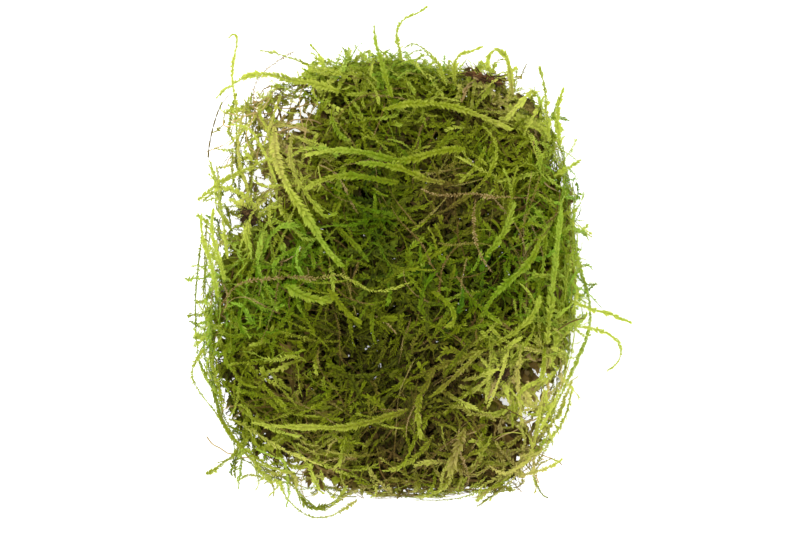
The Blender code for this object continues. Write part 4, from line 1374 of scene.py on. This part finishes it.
class MOSS_OT_mat_fibres(bpy.types.Operator):
    """Grow the bare dead stems and old leaves inside the mat and the pale straws at its top"""

    bl_idname = "moss.mat_fibres"
    bl_label = "Mat fibres"

    def execute(self, context):
        settings, look = context.scene.moss_mat, context.scene.moss_look
        rng = np.random.default_rng(settings.seed + 6)
        field = mat_field()
        lines = grown_layer(field, rng, FIBRE_LAYER, settings.fibres)
        tones = shoot_tones(field, rng, lines, FIBRE_LAYER.brown)
        bare = bare_stems(field, rng, lines, look.fibre, tones)
        shape = joined([bare, scraps(field, rng, settings.scraps)])
        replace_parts(add_piece("mat_fibres", moss_finish(), shape), MAT)

        lines = grown_layer(field, rng, STRAW_LAYER, settings.straws)
        count, points = lines.shape[:2]
        tone = rng.uniform(0.4, 0.8, (count, 1)) + rng.normal(0, 0.04, (count, points))
        hue = rng.uniform(0.72, 0.97, (count, 1)) * np.ones(points)
        outward = field.outward(lines)
        reach = look.straw / MM * rng.uniform(0.6, 1.3, count)
        tones = np.stack([tone, hue], -1)
        shape = leafy(rng, lines, outward, tones, Look(look, 0.95), reach)
        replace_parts(add_piece("mat_straws", moss_finish(), shape), MAT)
        return {"FINISHED"}


class MOSS_OT_loose_shoots(bpy.types.Operator):
    """Leaf each loose live shoot along its CAD tube"""

    bl_idname = "moss.loose_shoots"
    bl_label = "Loose shoots"

    def execute(self, context):
        rng = np.random.default_rng(context.scene.moss_mat.seed + 3)
        look = Look(context.scene.moss_look, 0.56, 1.15, 1.6)
        field = mat_field()
        for name in LIVE:
            line, radii = tube_line(name)
            if name not in TIPS_INWARD:
                line = line[::-1]
            lines = resampled(line, SHOOT_POINTS)[None]
            outward = unit(field.outward(lines[0]) + (0, 0, 1.0))[None]
            tones = shoot_tones(field, rng, lines, chance=0.4) * (0.75, 1) + (0.2, 0.01)
            reach = np.maximum(radii.max(keepdims=True) * FLUFF, THINNEST)
            shape = leafy(rng, lines, outward, tones, look, reach)
            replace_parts(add_piece("leafy_" + name, moss_finish(), shape), name)
        return {"FINISHED"}


class MOSS_OT_dead_stems(bpy.types.Operator):
    """Make each dead stem along its CAD tube, tan, and the long one greener at its right end"""

    bl_idname = "moss.dead_stems"
    bl_label = "Dead stems"

    def execute(self, context):
        rng = np.random.default_rng(context.scene.moss_mat.seed + 4)
        look = Look(context.scene.moss_look, 1.3)
        for name in DEAD:
            line, radii = tube_line(name)
            greener = np.zeros(STEM_POINTS)
            if name == LONG_STEM:
                line = line[line[:, 0].argsort()]
                greener = smooth_step(np.linspace(-0.7, 1.3, STEM_POINTS))
            lines = resampled(line, STEM_POINTS)[None]
            outward = unit(mat_field().outward(lines[0]) + (0, 0, 1.0))[None]
            tone = 0.68 + 0.12 * greener + rng.normal(0, 0.04, STEM_POINTS)
            tones = np.stack([tone, 0.93 - 0.45 * greener], 1)[None]
            reach = radii.max(keepdims=True) * FLUFF
            shape = leafy(rng, lines, outward, tones, look, reach)
            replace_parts(add_piece("strand_" + name, moss_finish(), shape), name)
        return {"FINISHED"}


class MOSS_OT_hair_roots(bpy.types.Operator):
    """Make each hair root along its CAD tube, dark, knobbed and thinning towards its outer end"""

    bl_idname = "moss.hair_roots"
    bl_label = "Hair roots"

    def execute(self, context):
        rng = np.random.default_rng(context.scene.moss_mat.seed + 7)
        for name in HAIRS:
            line, radii = tube_line(name)
            lines = resampled(line, ROOT_POINTS)[None]
            axes = line_axes(lines, np.array([0, 0, 1.0]), np.zeros((1, ROOT_POINTS)))
            share = np.linspace(0, 1, ROOT_POINTS)
            knobs = 0.6 + 0.25 * waves(rng, share[:, None], [0.15])
            taper = np.interp(share, [0, 20 / (ROOT_POINTS - 1), 1], [0.4, 0.9, 1])
            tones = np.stack([0.5 * knobs, np.full(ROOT_POINTS, 0.85)], 1)[None]
            shape = stems(lines, axes, (radii.max() * knobs * taper)[None], tones, sides=6)
            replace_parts(add_piece("strand_" + name, moss_finish(), shape), name)
        return {"FINISHED"}


class MOSS_OT_bark(bpy.types.Operator):
    """Make the splintered flake of bark"""

    bl_idname = "moss.bark"
    bl_label = "Bark flake"

    def execute(self, context):
        outline = Outline("bark_flake")
        rng = np.random.default_rng(11)
        angle = math.atan2(outline.forward[1], outline.forward[0])
        finish = litter_finish("bark", (250, 1500, 1500), -angle, top=0.45)
        add_litter("bark_flake", finish, bark_shape(rng, outline))
        return {"FINISHED"}


class MOSS_OT_leaf(bpy.types.Operator):
    """Make the rolled dead leaf"""

    bl_idname = "moss.leaf"
    bl_label = "Dead leaf"

    def execute(self, context):
        grain = (900, 900, 900)
        finish = litter_finish("leaf", grain, top=-0.4, roughness=(0.7, 0.45), relief=0.25)
        shape = leaf_shape(np.random.default_rng(12), Outline("dead_leaf"))
        add_litter("dead_leaf", finish, shape)
        return {"FINISHED"}


class MOSS_OT_peat(bpy.types.Operator):
    """Make the crumb of peat and the knot of roots"""

    bl_idname = "moss.peat"
    bl_label = "Peat and root knot"

    def execute(self, context):
        finish = litter_finish("peat", (1300, 1300, 1300), top=0.1, relief=0.8)
        for name, slot, seed, crumbs, count, lengths, half_sides in (
            ("peat_crumb", "peat", 13, 8, 70, (1.5, 3.6), (1.9, 1.8, 1.3)),
            ("root_knot", "roots", 14, 5, 70, (1.5, 5.5), (2.0, 2.2, 0.9)),
        ):
            rng = np.random.default_rng(seed)
            middle = sum(np.array(corner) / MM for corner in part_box(name)) / 2
            parts = [rootlets(rng, middle, count, lengths)]
            for _ in range(crumbs):
                half = np.array(half_sides) * rng.uniform(0.25, 0.6, 3)
                at = middle + (np.array(half_sides) - half) * rng.uniform(-1, 1, 3)
                parts.append(lump_shape(rng, at - half, at + half))
            add_litter(name, finish, joined(parts))
        return {"FINISHED"}


class MOSS_OT_stage(bpy.types.Operator):
    """Make the floor, the lights and the camera"""

    bl_idname = "moss.stage"
    bl_label = "Stage"

    def execute(self, context):
        settings = context.scene.moss_stage
        scene = context.scene
        scene.view_settings.view_transform = "Standard"
        self.add_floor(scene, settings)
        self.add_lights(scene, settings)
        self.add_camera(scene, settings)
        return {"FINISHED"}

    @staticmethod
    def add_lights(scene, settings):
        """A white dome, and a soft lamp above the far left corner that faces the clump."""
        world = bpy.data.worlds.new("dome")
        scene.world = world
        world.use_nodes = True
        background = world.node_tree.nodes["Background"]
        background.inputs["Color"].default_value = (1, 1, 1, 1)
        background.inputs["Strength"].default_value = settings.dome
        lamp = bpy.data.lights.new("softbox", "AREA")
        lamp.shape = "RECTANGLE"
        lamp.size, lamp.size_y = LAMP_SIDES
        lamp.energy = settings.softbox
        box = bpy.data.objects.new("softbox", lamp)
        box.location = LAMP_PLACE
        box.rotation_euler = (-box.location).to_track_quat("-Z", "Y").to_euler()
        scene.collection.objects.link(box)

    @staticmethod
    def add_floor(scene, settings):
        """A level square sheet that glows a little, as a light table does."""
        mesh = bpy.data.meshes.new("floor")
        sides = ((-1, -1), (1, -1), (1, 1), (-1, 1))
        corners = [(x * FLOOR_HALF, y * FLOOR_HALF, 0) for x, y in sides]
        mesh.from_pydata(corners, [], [(0, 1, 2, 3)])
        floor = bpy.data.objects.new("floor", mesh)
        scene.collection.objects.link(floor)
        finish, shader, _ = shaded("pale floor", 0)
        shader.inputs["Base Color"].default_value = (*settings.floor, 1)
        shader.inputs["Roughness"].default_value = 0.6
        shader.inputs["Specular IOR Level"].default_value = 0.1
        shader.inputs["Emission Color"].default_value = (1, 1, 1, 1)
        shader.inputs["Emission Strength"].default_value = settings.glow
        mesh.materials.append(finish)

    @staticmethod
    def add_camera(scene, settings):
        """A camera over the front edge that looks down at the middle of the mat's top."""
        lens = bpy.data.cameras.new("camera")
        lens.lens = lens.sensor_width * settings.distance / settings.width
        camera = bpy.data.objects.new("camera", lens)
        back = Vector((0, -math.cos(settings.elevation), math.sin(settings.elevation)))
        aim = Vector(AIM) + Vector((0, 0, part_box(MAT)[1].z))
        camera.location = aim + back * settings.distance
        camera.rotation_euler = (-back).to_track_quat("-Z", "Y").to_euler()
        scene.collection.objects.link(camera)
        scene.camera = camera


class MOSS_PT_panel(bpy.types.Panel):
    """Lists the clump's pieces and settings"""

    bl_idname = "MOSS_PT_panel"
    bl_label = "Moss clump"
    bl_space_type = "VIEW_3D"
    bl_region_type = "UI"
    bl_category = "Moss"

    def draw(self, context):
        for group in GROUPS:
            settings = getattr(context.scene, group)
            for name in settings.__annotations__:
                self.layout.prop(settings, name)
        for operator in OPERATORS:
            self.layout.operator(operator.bl_idname)


GROUPS = {
    "moss_look": MossLook,
    "moss_mat": MossMatSettings,
    "moss_colours": MossColours,
    "moss_stage": MossStageSettings,
}
OPERATORS = (
    MOSS_OT_mat_top,
    MOSS_OT_mat_sides,
    MOSS_OT_strands,
    MOSS_OT_mat_base,
    MOSS_OT_mat_fibres,
    MOSS_OT_loose_shoots,
    MOSS_OT_dead_stems,
    MOSS_OT_hair_roots,
    MOSS_OT_bark,
    MOSS_OT_leaf,
    MOSS_OT_peat,
    MOSS_OT_stage,
)
CLASSES = (*GROUPS.values(), *OPERATORS, MOSS_PT_panel)


def register():
    for item in CLASSES:
        bpy.utils.register_class(item)
    for name, group in GROUPS.items():
        setattr(bpy.types.Scene, name, PointerProperty(type=group))


def unregister():
    for name in GROUPS:
        delattr(bpy.types.Scene, name)
    for item in reversed(CLASSES):
        bpy.utils.unregister_class(item)


def main():
    """Runs every operator in order."""
    register()
    for operator in OPERATORS:
        family, name = operator.bl_idname.split(".")
        getattr(getattr(bpy.ops, family), name)()


if __name__ == "__main__":
    main()
